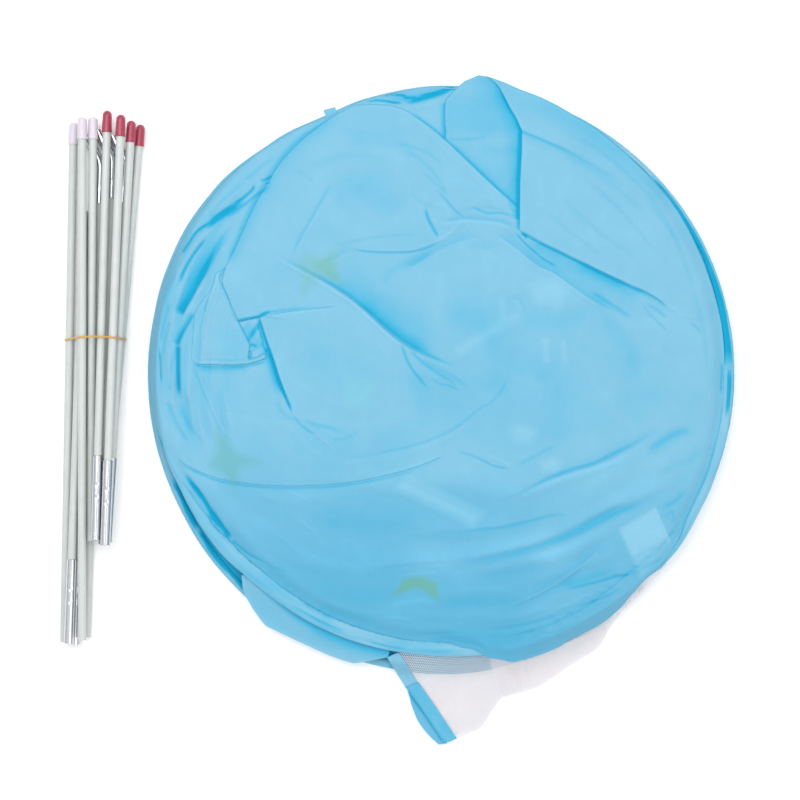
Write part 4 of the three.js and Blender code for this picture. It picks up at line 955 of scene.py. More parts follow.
def colour(u, v, t, seed=0, ghosts=True):
    base_colour = cloth_colour_with_painted_shade(t, u, v, seed)
    if ghosts:
        for poly, rgb, alpha, edge in GHOSTS:
            p = np.array(poly, float)
            m = (u > p[:, 0].min() - 12) & (u < p[:, 0].max() + 12) & (v > p[:, 1].min() - 12) & (v < p[:, 1].max() + 12)
            if m.any():
                a = (alpha * soft_shape(u[m], v[m], p, edge))[:, None]
                base_colour[m] = base_colour[m] * (1 - a) + np.array(rgb) * a
    return base_colour


def finish_cloth(o, body, thick=0.4, nodes=()):
    if thick:
        s = o.modifiers.new("cloth thickness", "SOLIDIFY")
        s.thickness, s.offset, s.use_even_offset = thick / 1000, -1, False
        wn = o.modifiers.new("flat shading at the cut edge", "WEIGHTED_NORMAL")
        wn.mode, wn.weight = "FACE_AREA", 100
    if body:
        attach(o, body)
    if nodes:
        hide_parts(*nodes)
    return o


def mesh_area(o):
    me = o.data
    a = np.zeros(len(me.polygons))
    me.polygons.foreach_get("area", a)
    return float(a.sum())


def declare(o):
    """Works out a sheet's area from its mesh, a little under it; the value is not used."""
    a = mesh_area(o) * 0.985


STEP = 1.05

deg = np.arange(0, 360, 1.0)
rim = rim_edge(deg)
bed_outline = np.stack([PC[0] + rim * np.cos(np.radians(deg)), PC[1] + rim * np.sin(np.radians(deg))], 1)
u, v, q = region_grid(bed_outline, STEP)
z, t = bed(u, v)
r, a = polar(u, v)
def clear_of_sleeve(z, u, v, gap=0.35):
    r, a = polar(u, v)
    half = (TOP_OUT(a) - TOP_IN(a)) / 2
    x = np.clip((r - TOP_R(a)) / half, -1, 1)
    z = np.where(np.abs(x) < 1, np.maximum(z, TOP_Z + (TOP_H + 0.45) * (1 - x * x) ** 0.4 + gap), z)
    for radius, zc in ((MID_R, MID_Z), (LOW_R, LOW_Z)):
        y = np.clip((r - radius(a)) / 5.4, -1, 1)
        z = np.where(np.abs(y) < 1, np.maximum(z, zc + 5.2 * (1 - y * y) ** 0.5 + 0.4), z)
    return z


z = clear_of_sleeve(np.maximum(z, np.where(r > TOP_OUT(a) - 4, 10.6, 26.6)), u, v)
top_cloth = new_mesh("roof_and_wall_cloth", place(u, v, z), q, M_CLOTH, colour(u, v, t))
finish_cloth(top_cloth, "top_coil", 0.35, ("upper_wall_panel", "lower_wall_fold"))

# ------------------------------------------------------------------ overlapping pieces of the top cloth
LAYERS = []


def ground(u, v):
    z, t = bed(u, v)
    for outline, f in LAYERS:
        m = inside(u, v, outline)
        if m.any():
            z[m] = np.maximum(z[m], f(u[m], v[m])[0])
    return z, t


def overlay(name, outline, free, merge, lift=1.7, merge_width=26.0, body="top_coil", nodes=(), tint=0.0, seed=1, extra=None, edge_painted_highlight=0.10, own_tint=1.0, step=None, rise=1.7, over_rim=0.0):
    """A cloth that lies on the bed. It ends at its free edges and runs into the bed at its merge line."""
    outline = np.asarray(outline, float)
    frees = [curve(f, 4) for f in free]
    merges = [curve(m, 4) for m in merge]

    def height(u, v):
        z, t = ground_before(u, v)
        under = z
        w = np.ones(u.shape)
        for m in merges:
            d, _ = near(u, v, m)
            w = np.minimum(w, smooth(np.abs(d), 1.0, merge_width))
        e = np.full(u.shape, 1e9)
        for f in frees:
            d, _ = near(u, v, f)
            e = np.minimum(e, np.abs(d))
        z = z * 1.0
        # the fold's edge rests on the layer below
        z = z + (0.12 + lift * smooth(e, -0.3, rise) + 0.7) * w - 0.7
        # painted highlight a little inside the free edge, and painted deep shade on the edge itself
        t = t * own_tint + tint * w - edge_painted_highlight * np.exp(-(((e - 2.0) / 1.5) ** 2)) * w + 0.60 * (1 - smooth(e, 0.1, 1.0)) * w
        if extra is not None:
            dz, dt = extra(u, v, w)
            z, t = z + dz, t + dt
        if over_rim:
            r, a = polar(u, v)
            x = r - TOP_OUT(a)
            top = over_rim - 5.0 * smooth(x, 0.0, 14.0) + (np.maximum(z, over_rim) - over_rim) * smooth(-x, 6, 30)
            k = smooth(r, TOP_IN(a) - 16, TOP_IN(a) - 2) * turn_in(a, 262, 318, 6)
            z = np.maximum(z * (1 - k) + np.where(x > -26, top, z) * k, np.where(x < 2, under + 0.45 * w, 0))
        return clear_of_sleeve(z, u, v, 0.7), t

    before = list(LAYERS)

    def ground_before(u, v):
        z, t = bed(u, v)
        for o2, f2 in before:
            m = inside(u, v, o2)
            if m.any():
                z[m] = np.maximum(z[m], f2(u[m], v[m])[0])
        return z, t

    u, v, q = region_grid(outline, step or STEP)
    z, t = height(u, v)
    o = new_mesh(name, place(u, v, z), q, M_CLOTH, colour(u, v, t, seed))
    finish_cloth(o, body, 0.35, nodes)
    LAYERS.append((outline, height))
    return o


def join_lines(*lines):
    return np.vstack([np.asarray(x, float) for x in lines])


# upper panel, ending in the long curved hem
hem = curve([(166, 449), (186, 465.4), (215.8, 478), (238.7, 482.7), (268.6, 485.6), (300.7, 486), (335, 484.3), (369.6, 479.2), (415.5, 467.7), (456, 450.7)], 6)
hem_in = curve([(456, 450.7), (452, 420), (400, 405), (330, 410), (260, 405), (205, 395), (182, 402), (172, 425), (166, 449)], 5)
upper_panel = overlay("upper_panel_hem", join_lines(hem, hem_in[1:-1]), [hem], [hem_in], 0.6, 24, tint=0.02, rise=2.4, seed=2, nodes=("roof_fold",))

# top wedge
wedge_left = curve([(446, 140), (444.5, 120), (445, 100)], 3)
wedge_top = np.array([(445, 100), (454, 90), (465, 81), (478.7, 75.3), (486, 76.4)])
wedge_in = curve([(486, 76.4), (498, 82), (512, 92), (522, 112), (528, 131), (529, 165), (529, 206), (527, 224)], 4)
wedge_low = curve([(527, 224), (500, 212), (480, 194), (460, 172), (446, 140)], 4)


def wedge_extra(u, v, w):
    d1, s1 = near(u, v, curve([(450, 139), (464, 139.5), (484, 137.5)], 5))
    d2, s2 = near(u, v, curve([(500, 92), (509, 120), (514, 150), (516, 190)], 5))
    d3, s3 = near(u, v, curve([(462, 112), (480, 128), (496, 150), (512, 178)], 5))
    z = -0.3 * np.exp(-((d1 / 1.8) ** 2)) - 0.4 * np.exp(-((d2 / 5.0) ** 2)) + 0.7 * np.exp(-((d3 / 9.0) ** 2))
    d4, s4 = near(u, v, np.array([(486.5, 77), (500, 89), (509.5, 107), (516, 118), (521, 131), (519.5, 180), (518.5, 228)]))
    # painted shade in the creases, in bands across the wedge and lower down, and deepest beside the edge of the right
    # cloth that lies on it
    t = 0.24 * np.exp(-((d1 / 1.3) ** 2)) * (v > 134) + 0.12 * np.exp(-((d2 / 7.0) ** 2)) + 0.06 * smooth(v, 138, 175)
    t = t + 0.14 * smooth(v, 84, 106) * (1 - smooth(v, 128, 141)) + 0.10 * np.exp(-(((v - 150) / 5.0) ** 2)) * smooth(u, 470, 500)
    t = t + 0.85 * np.exp(-((np.abs(d4) / 2.6) ** 1.6)) * smooth(s4, 0.03, 0.25) + 0.20 * np.exp(-((np.abs(d4) / 9.0) ** 1.6))
    return z, t


wedge = overlay("top_wedge_cloth", join_lines(wedge_left, wedge_top[1:], wedge_in[1:], wedge_low[1:-1]), [join_lines(wedge_left, wedge_top)], [wedge_low, [(524, 117), (528, 131), (529, 165), (529, 206), (527, 224)]], 1.0, 10, tint=0.05, nodes=("top_wedge_fold",), seed=3, extra=wedge_extra, edge_painted_highlight=0.05, over_rim=30.3)

# big cloth at the upper left
big_left = curve([(300, 322), (262, 316.5), (237, 320.5), (229, 300), (222, 283), (225, 268), (234, 249), (253, 207), (268, 181), (282, 159.5), (304.6, 136.5), (330, 118), (354, 104.5)], 4)
big_top = curve([(354, 104.5), (372, 104), (392, 105.5), (408, 111)], 4)
big_diag = curve([(408, 111), (427, 124.5), (446, 140), (480, 172.5), (519, 209)], 4)
big_in = curve([(519, 209), (500, 226), (455, 222), (415, 232), (376, 256), (338, 296), (300, 322)], 5)


def big_extra(u, v, w):
    d, s = near(u, v, curve([(404, 122), (440, 152), (480, 190), (510, 214)], 5))
    z = 0.9 * np.exp(-((d / 5.5) ** 2))
    # the ridge carries a faint painted highlight
    return z, -0.05 * np.exp(-((d / 5.5) ** 2))


big = overlay("big_left_cloth", join_lines(big_left, big_top[1:], big_diag[1:], big_in[1:-1]), [join_lines(big_left[12:], big_top[1:], big_diag[1:])], [big_in], 0.9, 30, rise=2.2, nodes=("centre_fold",), seed=4, extra=big_extra, edge_painted_highlight=0.06)

# front cloth below it, with the sharp corner beside the flap
front_top = curve([(258.6, 316.4), (290, 311), (327.5, 306.8), (356, 303)], 4)
front_left = curve([(304, 432), (293, 416), (281, 385), (272, 358.5), (265, 338), (258.6, 316.4)], 4)
front_in = curve([(356, 303), (392, 338), (410, 375), (398, 420), (350, 440), (304, 432)], 5)
front = overlay("front_left_cloth", join_lines(front_left, front_top[1:], front_in[1:-1]), [front_left, front_top], [front_in], 0.8, 34, rise=2.0, nodes=(), seed=5, edge_painted_highlight=0.08)

# right cloth with its straight left edge and lower edge
right_left = curve([(519, 230), (519.5, 205), (520, 180), (521.6, 150), (521.8, 131)], 4)
right_crest = curve([(521.8, 131), (516, 118), (509.5, 107), (500, 89), (493, 81), (486, 76)], 4)
right_top = curve([(486, 76), (503, 82), (520, 89.5), (540, 97), (560, 107), (580, 119)], 4)
rim_at = np.array([302.0, 306.0, 310.0, 314.0, 318.0, 323.0, 328.0, 333.0, 338.0, 343.0, 347.0])
rim_r = (TOP_OUT(rim_at) - 0.4) * (1 - smooth(rim_at, 300, 318)) + (TOP_IN(rim_at) + 0.1) * smooth(rim_at, 300, 318)
right_rim = curve(np.vstack([[(580, 119)], np.stack([PC[0] + rim_r * np.cos(np.radians(rim_at)), PC[1] + rim_r * np.sin(np.radians(rim_at))], 1)]), 4)
right_in = curve(np.vstack([right_rim[-1:], [(702, 319), (684, 318), (670, 311)]]), 4)
right_low = curve([(670, 312), (667, 307), (650, 294.6), (630, 285), (603, 272.6), (581, 261.8), (560, 251.4), (540, 241.6), (519, 230)], 4)


def right_extra(u, v, w):
    r, a = polar(u, v)
    d1, s1 = near(u, v, curve([(522, 131), (534, 136), (546, 141), (570, 152.5), (600, 170), (626, 188)], 5))
    z = -0.9 * np.exp(-((d1 / np.where(d1 < 0, 0.9, 2.6)) ** 2)) * (1 - s1) + 0.5 * np.exp(-(((d1 + 5) / 4.0) ** 2)) * (1 - s1)
    # painted shade in the crease and beside it, a faint painted highlight along the left edge, and painted shade
    # towards the rim at the upper right
    t = 0.50 * np.exp(-((d1 / np.where(d1 < 0, 0.8, 2.4)) ** 2)) * (1 - s1) ** 0.8 + 0.12 * np.exp(-(((d1 - 5) / 4.0) ** 2)) * (1 - s1)
    d2, s2 = near(u, v, curve([(524, 134), (523, 170), (522.5, 226)], 5))
    t = t - 0.04 * np.exp(-((d2 / 5.0) ** 2))
    t = t + 0.12 * turn_in(a, 286, 326, 8) * smooth(r, 262, 290)
    return z, t


right = overlay("right_cloth", join_lines(right_left, right_crest[1:], right_top[1:], right_rim[1:], right_in[1:], right_low[1:-1]), [join_lines(right_low, right_left[1:], right_crest[1:], right_top[1:], right_rim[1:])], [right_in], 0.8, 16, rise=2.0, nodes=("right_fold",), seed=6, extra=right_extra, edge_painted_highlight=0.05, over_rim=31.3)

# square corner flap with a double hem
flap_outline = np.array([(225.4, 267.4), (215.4, 273.6), (213.4, 281), (209.5, 291.5), (203.5, 298), (197.5, 307), (194.0, 316), (192.4, 336), (190.9, 356), (192.0, 360.5)])
flap_low = np.array([(192.0, 360.5), (197.5, 364.4), (210, 364.6), (224.3, 365.2), (240, 365), (252, 363.2), (266.0, 358.4)])
flap_in = np.array([(266.0, 358.4), (264.6, 353.4), (256, 357.5), (248.4, 358.6), (249.8, 344.5), (243.5, 331), (237, 318.6), (228, 298), (219.2, 277.7), (225.4, 267.4)])
flap = np.vstack([flap_outline, flap_low[1:], flap_in[1:-1]])


def flap_extra(u, v, w):
    d1, s1 = near(u, v, np.array([(214.6, 276), (209.5, 293), (203.9, 313.5), (200.4, 330), (199.6, 361)]))
    d2, s2 = near(u, v, np.array([(196.5, 357.8), (200.3, 360.2), (232, 360.8), (246, 359.8)]))
    z = -0.30 * np.exp(-((d1 / 0.9) ** 2)) - 0.25 * np.exp(-((d2 / 0.9) ** 2)) - 0.35 * (d1 > 0)
    # painted shade along the hem creases and beside the side hem, and towards the lower right of the flap; a little
    # lighter away from the hems
    t = 0.22 * np.exp(-((d1 / 0.9) ** 2)) + 0.05 * np.exp(-((d2 / 1.0) ** 2)) + 0.10 * (d1 > 0) * smooth(np.abs(d1), 0, 3)
    hemside = np.minimum(np.abs(d1), np.abs(d2))
    d3, s3 = near(u, v, np.array([(200.5, 322), (197.6, 340), (196.4, 357)]))
    z = z - 0.3 * np.exp(-((d3 / 0.8) ** 2)) + 0.9 * smooth(u + 0.35 * (v - 320), 200, 250) * 0.6
    t = t + 0.08 * np.exp(-((d3 / 0.8) ** 2)) + 0.12 * smooth(v, 300, 350) * smooth(u, 206, 240)
    return z, t - 0.03 * smooth(hemside, 0, 3)


corner = overlay("corner_flap", flap, [np.vstack([flap, flap[:1]])], [], 0.8, 10, rise=1.8, tint=0.03, nodes=("left_corner_fold",), seed=7, extra=flap_extra, own_tint=0.2, edge_painted_highlight=0.07, step=STEP * 0.8)

# ------------------------------------------------------------------ cloth hanging outside the rim at the lower left
outer = curve([(241.4, 575.7), (243.6, 591.4), (248.6, 601.4), (255.7, 612.9), (264.3, 624.3), (271.4, 628.6), (301.4, 642.9), (330, 655.7), (348.6, 662), (357, 663), (380, 659), (388, 657)], 5)
outer_in = curve([(388, 657), (388, 648), (366, 642), (330, 629), (296, 609), (268, 588), (252, 573), (241.4, 575.7)], 5)
u, v, q = region_grid(join_lines(outer, outer_in[1:-1]), STEP)
d_out, s_out = near(u, v, outer)
r, a = polar(u, v)
z = 21.6 - 5.0 * smooth(r, 280, 299) + 0.6 * fbm(u / 20.0, v / 20.0, 44) + 0.3 * noise(r / 5.0, a / 6.0, 45)
# painted shade in bands along the sleeve's edge above, and a faint painted highlight along the outer edge
t = 0.10 + 0.45 * np.exp(-(((r - 278.5) / 4.5) ** 2)) * smooth(u, 250, 300) + 0.06 * noise(r / 9.0, a / 8.0, 46) - 0.10 * np.exp(-((d_out / 2.0) ** 2))
t = t + 0.22 * np.exp(-(((r - 284) / 5.0) ** 2)) * smooth(u, 290, 330)
outer_cloth = new_mesh("outer_left_cloth", place(u, v, z), q, M_CLOTH, colour(u, v, t, 8, False))
finish_cloth(outer_cloth, "middle_coil", 0.35)

# ------------------------------------------------------------------ cloth between the coils and the floor panel
def disc_sheet(name, radius, inset, zmid, amp, body, nodes, seed, down=False, tint=0.12, lo=None, hi=None):
    deg = np.arange(0, 360, 4.0)
    rr = radius(deg) - inset
    outline = np.stack([PC[0] + rr * np.cos(np.radians(deg)), PC[1] + rr * np.sin(np.radians(deg))], 1)
    u, v, q = region_grid(outline, 4.2)
    r, a = polar(u, v)
    e = smooth(radius(a) - inset - r, 0, 22)
    z = zmid + amp * e * (0.6 * fbm(u / 60.0, v / 60.0, seed) + 0.4 * noise(r / 14.0, a / 22.0, seed + 2))
    if lo is not None:
        z = np.maximum(z, lo)
    if hi is not None:
        z = np.minimum(z, hi)
    # painted shade towards the sheet's rim, where it runs in under the sleeves
    t = tint + 0.10 * noise(r / 14.0, a / 22.0, seed + 2) + 0.75 * (1 - e)
    if down:
        q = q[:, ::-1]
    o = new_mesh(name, place(u, v, z), q, M_CLOTH, colour(u, v, t, seed, False))
    return finish_cloth(o, body, 0.35, nodes)


floor_cloth = disc_sheet("floor_panel_cloth", LOW_R, 3.5, 0.9, 0.8, "packed_tent", ("floor_panel",), 61, True, lo=0.45, hi=2.2)
low_cloth = disc_sheet("low_coil_cloth", LOW_R, 3.5, 8.8, 1.2, "packed_tent", ("lower_wall_panel",), 62, hi=10.2)
mid_under = disc_sheet("middle_coil_under_cloth", MID_R, 3.5, 12.4, 1.0, "middle_coil", (), 63, True, lo=11.2)
mid_cloth = disc_sheet("middle_coil_cloth", MID_R, 3.5, 19.0, 1.2, "middle_coil", ("middle_wall_panel",), 64, hi=20.3)
top_under = disc_sheet("top_coil_under_cloth", TOP_R, 3.0, 22.6, 1.0, "top_coil", (), 65, True, lo=21.3)

# the cloth that joins two coils where they turn on each other
def joining_cloth(name, mid, half, section, z_a, z_b):
    """A strip on the outside of the rim; section gives radius and height along it, for the angles."""
    na, ns = 30, 17
    deg = mid + np.linspace(-half, half, na)
    k = np.linspace(0, 1, ns)
    rz = np.array([section(np.array([d])) for d in deg]).reshape(na, -1, 2)
    at = np.linspace(0, 1, rz.shape[1])
    R = np.array([np.interp(k, at, c[:, 0]) for c in rz])
    Z = np.array([np.interp(k, at, c[:, 1]) for c in rz])
    for _ in range(2):
        R[:, 1:-1] = 0.25 * R[:, :-2] + 0.5 * R[:, 1:-1] + 0.25 * R[:, 2:]
    R = R + 0.12 * noise(deg[:, None] * 1.3 + 0 * k, k[None, :] * 3, 71)
    a = np.radians(deg)[:, None]
    U, V = PC[0] + R * np.cos(a), PC[1] + R * np.sin(a)
    i, j = np.arange(na - 1)[:, None], np.arange(ns - 1)[None, :]
    q = np.stack([i * ns + j, (i + 1) * ns + j, (i + 1) * ns + j + 1, i * ns + j + 1], -1).reshape(-1, 4)
    # painted shade along the middle of the strip, between the two coils
    t = 0.12 + 0.30 * np.exp(-(((k[None, :] - 0.5) / 0.14) ** 2)) + 0.05 * noise(deg[:, None] * 0.8, k[None, :] * 4, 72)
    o = new_mesh(name, place(U, V, Z).reshape(-1, 3), q[:, ::-1], M_CLOTH, cloth_colour_with_painted_shade(t.ravel(), U.ravel(), V.ravel(), 73))
    finish_cloth(o, None, 0.25)
    edge = np.radians(mid)
    r = float(section(np.array([mid]))[len(section(np.array([mid]))) // 2][0])
    tuple(place(PC[0] + r * np.cos(edge), PC[1] + r * np.sin(edge), z_a))
    tuple(place(PC[0] + r * np.cos(edge), PC[1] + r * np.sin(edge), z_b))
    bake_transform(o)
    return o


def east_section(d):
    lo, mi = float(LOW_R(d)[0]), float(MID_R(d)[0])
    return [(lo + 3.4, 1.4), (lo + 4.9, 3.2), (lo + 5.25, 5.0), (lo + 4.9, 7.4), (lo + 4.3, 9.4), (mi + 4.3, 11.0), (mi + 4.6, 13.0), (mi + 5.0, 15.8), (mi + 4.5, 18.4), (mi + 3.0, 20.2)]


def west_section(d):
    mi, to = float(MID_R(d)[0]), float(TOP_OUT(d)[0])
    return [(mi + 3.4, 12.2), (mi + 4.6, 13.8), (mi + 5.0, 15.8), (mi + 4.5, 18.2), (mi + 3.6, 20.0), (to - 0.6, 21.6), (to + 0.1, 22.8), (to + 0.4, 24.4), (to + 0.35, 25.6)]


join_east = joining_cloth("joining_cloth_low_middle", 0.0, 10.0, east_section, 8.0, 13.0)
join_west = joining_cloth("joining_cloth_middle_top", 180.0, 10.0, west_section, 18.6, 23.0)

# ------------------------------------------------------------------ mesh window
def net_height(u, v):
    r, a = polar(u, v)
    drop = np.interp(r, [276, 284, 288, 291, 294, 297, 301, 306], [20.9, 20.95, 20.8, 18.0, 13.0, 8.6, 5.2, 4.0])
    away = smooth(r, 300, 318)
    z = drop + away * (1.1 * fbm(u / 22.0, v / 22.0, 80) + 0.3)
    pleat = np.sin(2 * np.pi * (u - 0.35 * (v - 670)) / 6.2) * np.exp(-(((u - 511) / 17.0) ** 2)) * smooth(v, 656, 668)
    z = z + 1.1 * pleat
    # it comes out between the rim's cloth and the low coil
    over = COVER(a) * (r < rim_edge(a) + 1.5)
    z = np.where(over > 0.5, np.minimum(z, 15.5 - 5.0 * smooth(r - TOP_OUT(a), -3.5, 5.0)), z)
    y = np.clip((r - LOW_R(a)) / 5.3, -1, 1)
    z = np.maximum(z, np.where(np.abs(y) < 1, LOW_Z + 4.9 * (1 - y * y) ** 0.5 + 0.25, 0))
    return np.maximum(z, 1.2), pleat


net_in = curve([(395, 646), (440, 648), (490, 648), (520, 650), (555, 639), (596, 619), (612, 606), (636, 578), (657, 561)], 4)
net_out = curve([(663, 564.5), (665.4, 566), (638.7, 595), (614.5, 619.4), (602.4, 641), (595, 649.7), (566, 667.8), (541.8, 684.8), (529.7, 690), (505.4, 695.7), (500.6, 698), (488.5, 713.9), (480, 727.7), (455.5, 738.5)], 3)
net_left = np.array([(455.5, 738.5), (437, 711), (417.5, 683), (404, 662)])
net_outline = join_lines(net_in, net_out, net_left[1:])


def hex_grid(outline, pitch, turn):
    """Hexagons over the inside of an outline, the cells of a tulle net, with the cut rim drawn onto the outline."""
    poly = np.asarray(outline, float)
    c, s = math.cos(turn), math.sin(turn)
    rot = np.stack([poly[:, 0] * c + poly[:, 1] * s, -poly[:, 0] * s + poly[:, 1] * c], 1)
    lo, hi = rot.min(0) - pitch, rot.max(0) + pitch
    dy = pitch * math.sqrt(3) / 2
    ni, nj = int((hi[0] - lo[0]) / pitch) + 2, int((hi[1] - lo[1]) / dy) + 2
    i, j = np.meshgrid(np.arange(ni), np.arange(nj), indexing="ij")
    cx, cy = lo[0] + (i + 0.5 * (j % 2)) * pitch, lo[1] + j * dy
    ang = np.radians(30 + 60 * np.arange(6))
    rad = pitch / math.sqrt(3)
    X, Y = cx.ravel()[:, None] + rad * np.cos(ang), cy.ravel()[:, None] + rad * np.sin(ang)
    key = np.round(X * 64).astype(np.int64) * 1000003 + np.round(Y * 64).astype(np.int64)
    _, first, idx = np.unique(key.ravel(), return_index=True, return_inverse=True)
    x, y = X.ravel()[first], Y.ravel()[first]
    q = idx.reshape(-1, 6)
    u, v = x * c - y * s, x * s + y * c
    ins = inside(u, v, poly)
    q = q[ins[q].sum(1) >= 3]
    used = np.unique(q)
    out = used[~ins[used]]
    u[out], v[out] = snap(u[out], v[out], poly)
    new = np.full(len(x), -1)
    new[used] = np.arange(len(used))
    return u[used], v[used], new[q][:, ::-1]


def net_layer(name, turn, cell, thick, dz, outline, lowest=1.0, pleats=0.0, mat=None):
    u, v, q = hex_grid(outline, cell, turn)
    z, pleat = net_height(u, v)
    if pleats:
        z = z + pleats * np.sin(2 * np.pi * (u - 0.45 * (v - 670)) / 5.2 + 1.3 * noise(u / 9.0, v / 16.0, 86))
    u = u + 0.6 * noise(v / 14.0, u / 40.0, 83)
    o = new_mesh(name, place(u, v, np.maximum(z + dz, lowest)), q, mat or M_NET, None)
    w = o.modifiers.new("net", "WIREFRAME")
    w.thickness, w.use_even_offset, w.use_relative_offset, w.use_boundary = thick / 1000, False, False, True
    return o


flap_start = tuple(place(470, 672.5, 6.6))
flap_end = tuple(place(470, 686, 6.6))
net = net_layer("mesh_window_net", 0.98, 2.0, 0.64, 0.0, net_outline)
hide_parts("mesh_window_flap", "mesh_window_skirt")
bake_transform(net)
# the net is folded double outside the rim
fold_out = curve([(648, 582), (638.7, 595), (614.5, 619.4), (602.4, 641), (595, 649.7), (566, 667.8), (541.8, 684.8), (529.7, 690), (505.4, 695.7), (500.6, 698), (488.5, 713.9), (480, 727.7), (456.5, 737.5)], 3)
fold_in = np.array([(437, 710), (421, 685.5), (440, 679.5), (470, 677.5), (500, 675.5), (530, 668), (560, 656), (590, 637), (607, 625), (622, 610), (640, 588)])
net2 = net_layer("mesh_window_net_fold", 0.35, 2.1, 0.66, -0.9, join_lines(fold_out, fold_in), 0.7)
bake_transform(net2)
# pleats where the net is gathered under the rim
gather = curve([(490, 655), (503, 651.5), (517, 654), (524, 663), (522, 676), (515, 688), (503, 698.5), (499, 688), (493, 672)], 4, True)
net3 = net_layer("mesh_window_net_gather", 0.2, 1.4, 0.46, 1.3, gather, 1.2, 0.8, M_NET_GATHER)
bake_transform(net3)

# ------------------------------------------------------------------ bound edge of the window
def tape(name, outline, zf, thick, tint, seed, step=1.1, stitches=None):
    u, v, q = region_grid(outline, step)
    z, t = zf(u, v)
    o = new_mesh(name, place(u, v, z), q, M_TAPE, colour(u, v, tint + t, seed, False))
    finish_cloth(o, None, thick)
    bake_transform(o)
    return o


def tape1_z(u, v):
    z, _ = net_height(u, v)
    d, s = near(u, v, np.array([(392.5, 655), (412, 685.5)]))
    return z + 1.0 + 0.25 * np.cos(np.clip(d / 6.0, -1, 1) * np.pi) + 0.2 * noise(u / 6.0, v / 6.0, 90), 0.03 * noise(u / 5.0, v / 5.0, 92)


def tape2_z(u, v):
    z, _ = net_height(u, v)
    d, s = near(u, v, np.array([(412, 685.5), (450, 741)]))
    z = np.maximum(z, 4.0) + 1.9 + 0.35 * np.cos(np.clip(d / 6.5, -1, 1) * np.pi) - 1.2 * smooth(s, 0.6, 1.0)
    # painted highlight just off the tape's crest and painted shade along one of its low edges
    return z, -0.06 * np.exp(-(((d - 1.5) / 3.0) ** 2)) + 0.22 * np.exp(-(((d - 6.0) / 1.6) ** 2)) + 0.04 * noise(u / 5.0, v / 5.0, 93)


def lobe_z(u, v):
    d, s = near(u, v, curve([(413, 697), (428, 716), (444, 739)], 4))
    z = 3.6 + 1.4 * smooth(np.abs(d), 2, 8) - 0.8 * (1 - smooth(np.abs(d), 0, 3)) + 0.3 * noise(u / 7.0, v / 7.0, 95)
    # painted shade in the trough of the turned tape
    return z, 0.28 * np.exp(-((d / 2.6) ** 2)) + 0.05


tape1 = tape("window_binding_upper", [(386.9, 657.5), (398.8, 652), (418.4, 683.2), (406, 688.2), (396, 672)], tape1_z, 0.8, -0.02, 20)
tape2 = tape("window_binding_lower", [(405.6, 687.0), (418.6, 682.2), (438, 710), (456.8, 738.4), (450, 741.6), (443.6, 743.0), (426, 716)], tape2_z, 0.8, 0.34, 21)
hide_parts("mesh_window_binding")
lobe = tape("window_binding_turn", join_lines(curve([(407.5, 690.5), (409.8, 698), (412.2, 706.6), (418, 721), (428, 734.5), (438.8, 744.6)], 4), curve([(447, 743.2), (445, 739), (430, 716), (414, 696)], 4)), lobe_z, 0.5, 0.18, 22)

# ------------------------------------------------------------------ stitching
def stitches(name, path, body, length=2.6, gap=1.1, width=0.42, lift=0.25, zf=None, blend=False):
    """A row of sewn stitches, each a small rounded bar, along grid points."""
    p = np.asarray(path, float)
    seg = np.hypot(*(p[1:] - p[:-1]).T) * GRID
    run = np.concatenate([[0], np.cumsum(seg)])
    n_st = int(run[-1] / (length + gap))
    parts = []
    ring = 6
    ang = np.arange(ring) * 2 * np.pi / ring
    for k in range(n_st):
        s0 = k * (length + gap) + gap * 0.5
        ss = s0 + length * np.array([0.0, 0.18, 0.5, 0.82, 1.0])
        uu, vv = np.interp(ss, run, p[:, 0]), np.interp(ss, run, p[:, 1])
        zz = zf(uu, vv) + lift * np.array([-1.0, 0.6, 1.0, 0.6, -1.0])
        c = place(uu, vv, zz)
        d = c[-1] - c[0]
        d = d / np.linalg.norm(d)
        side = np.cross(d, (0, 0, 1.0))
        side /= np.linalg.norm(side)
        upv = np.cross(side, d)
        rad = width / 2000 * np.array([0.45, 0.95, 1.0, 0.95, 0.45])
        V = (c[:, None, :] + rad[:, None, None] * (np.cos(ang)[None, :, None] * side + np.sin(ang)[None, :, None] * upv)).reshape(-1, 3)
        f = []
        for i in range(4):
            for j in range(ring):
                f.append([i * ring + j, i * ring + (j + 1) % ring, (i + 1) * ring + (j + 1) % ring, (i + 1) * ring + j])
        f += [[0, 3, 2, 1], [0, 5, 4, 3], [24, 25, 26, 27], [24, 27, 28, 29]]
        parts.append((V, f))
    V, F = join_parts(parts)
    o = new_mesh(name, V, F, M_THREAD)
    if not blend:
        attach(o, body)
    else:
        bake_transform(o)
    return o


def layer_z(k):
    return lambda uu, vv: LAYERS[k][1](np.asarray(uu, float), np.asarray(vv, float))[0]


stitches("stitch_hem", hem[8:-10] + np.array([0.0, -3.2]), "top_coil", zf=layer_z(0))
stitches("stitch_flap_side", [(209.5, 304), (205.2, 322), (202.8, 340), (202.2, 358)], "top_coil", zf=layer_z(5), length=2.2)
stitches("stitch_flap_low", [(205.5, 358.6), (232, 360.0), (248, 357.5)], "top_coil", zf=layer_z(5), length=2.2)
stitches("stitch_binding", [(394.5, 657), (414.5, 688.5)], "middle_coil", zf=lambda a, b: tape1_z(np.asarray(a, float), np.asarray(b, float))[0], length=2.2, blend=True)
stitches("stitch_binding_low", [(413, 688), (450.5, 740)], "middle_coil", zf=lambda a, b: tape2_z(np.asarray(a, float), np.asarray(b, float))[0], length=2.2, blend=True)
seam_deg = np.arange(-72, 52, 0.5)
rr = TOP_R(seam_deg) - 9.5
seam = np.stack([PC[0] + rr * np.cos(np.radians(seam_deg)), PC[1] + rr * np.sin(np.radians(seam_deg))], 1)
seam = seam[(seam[:, 1] > 330)]
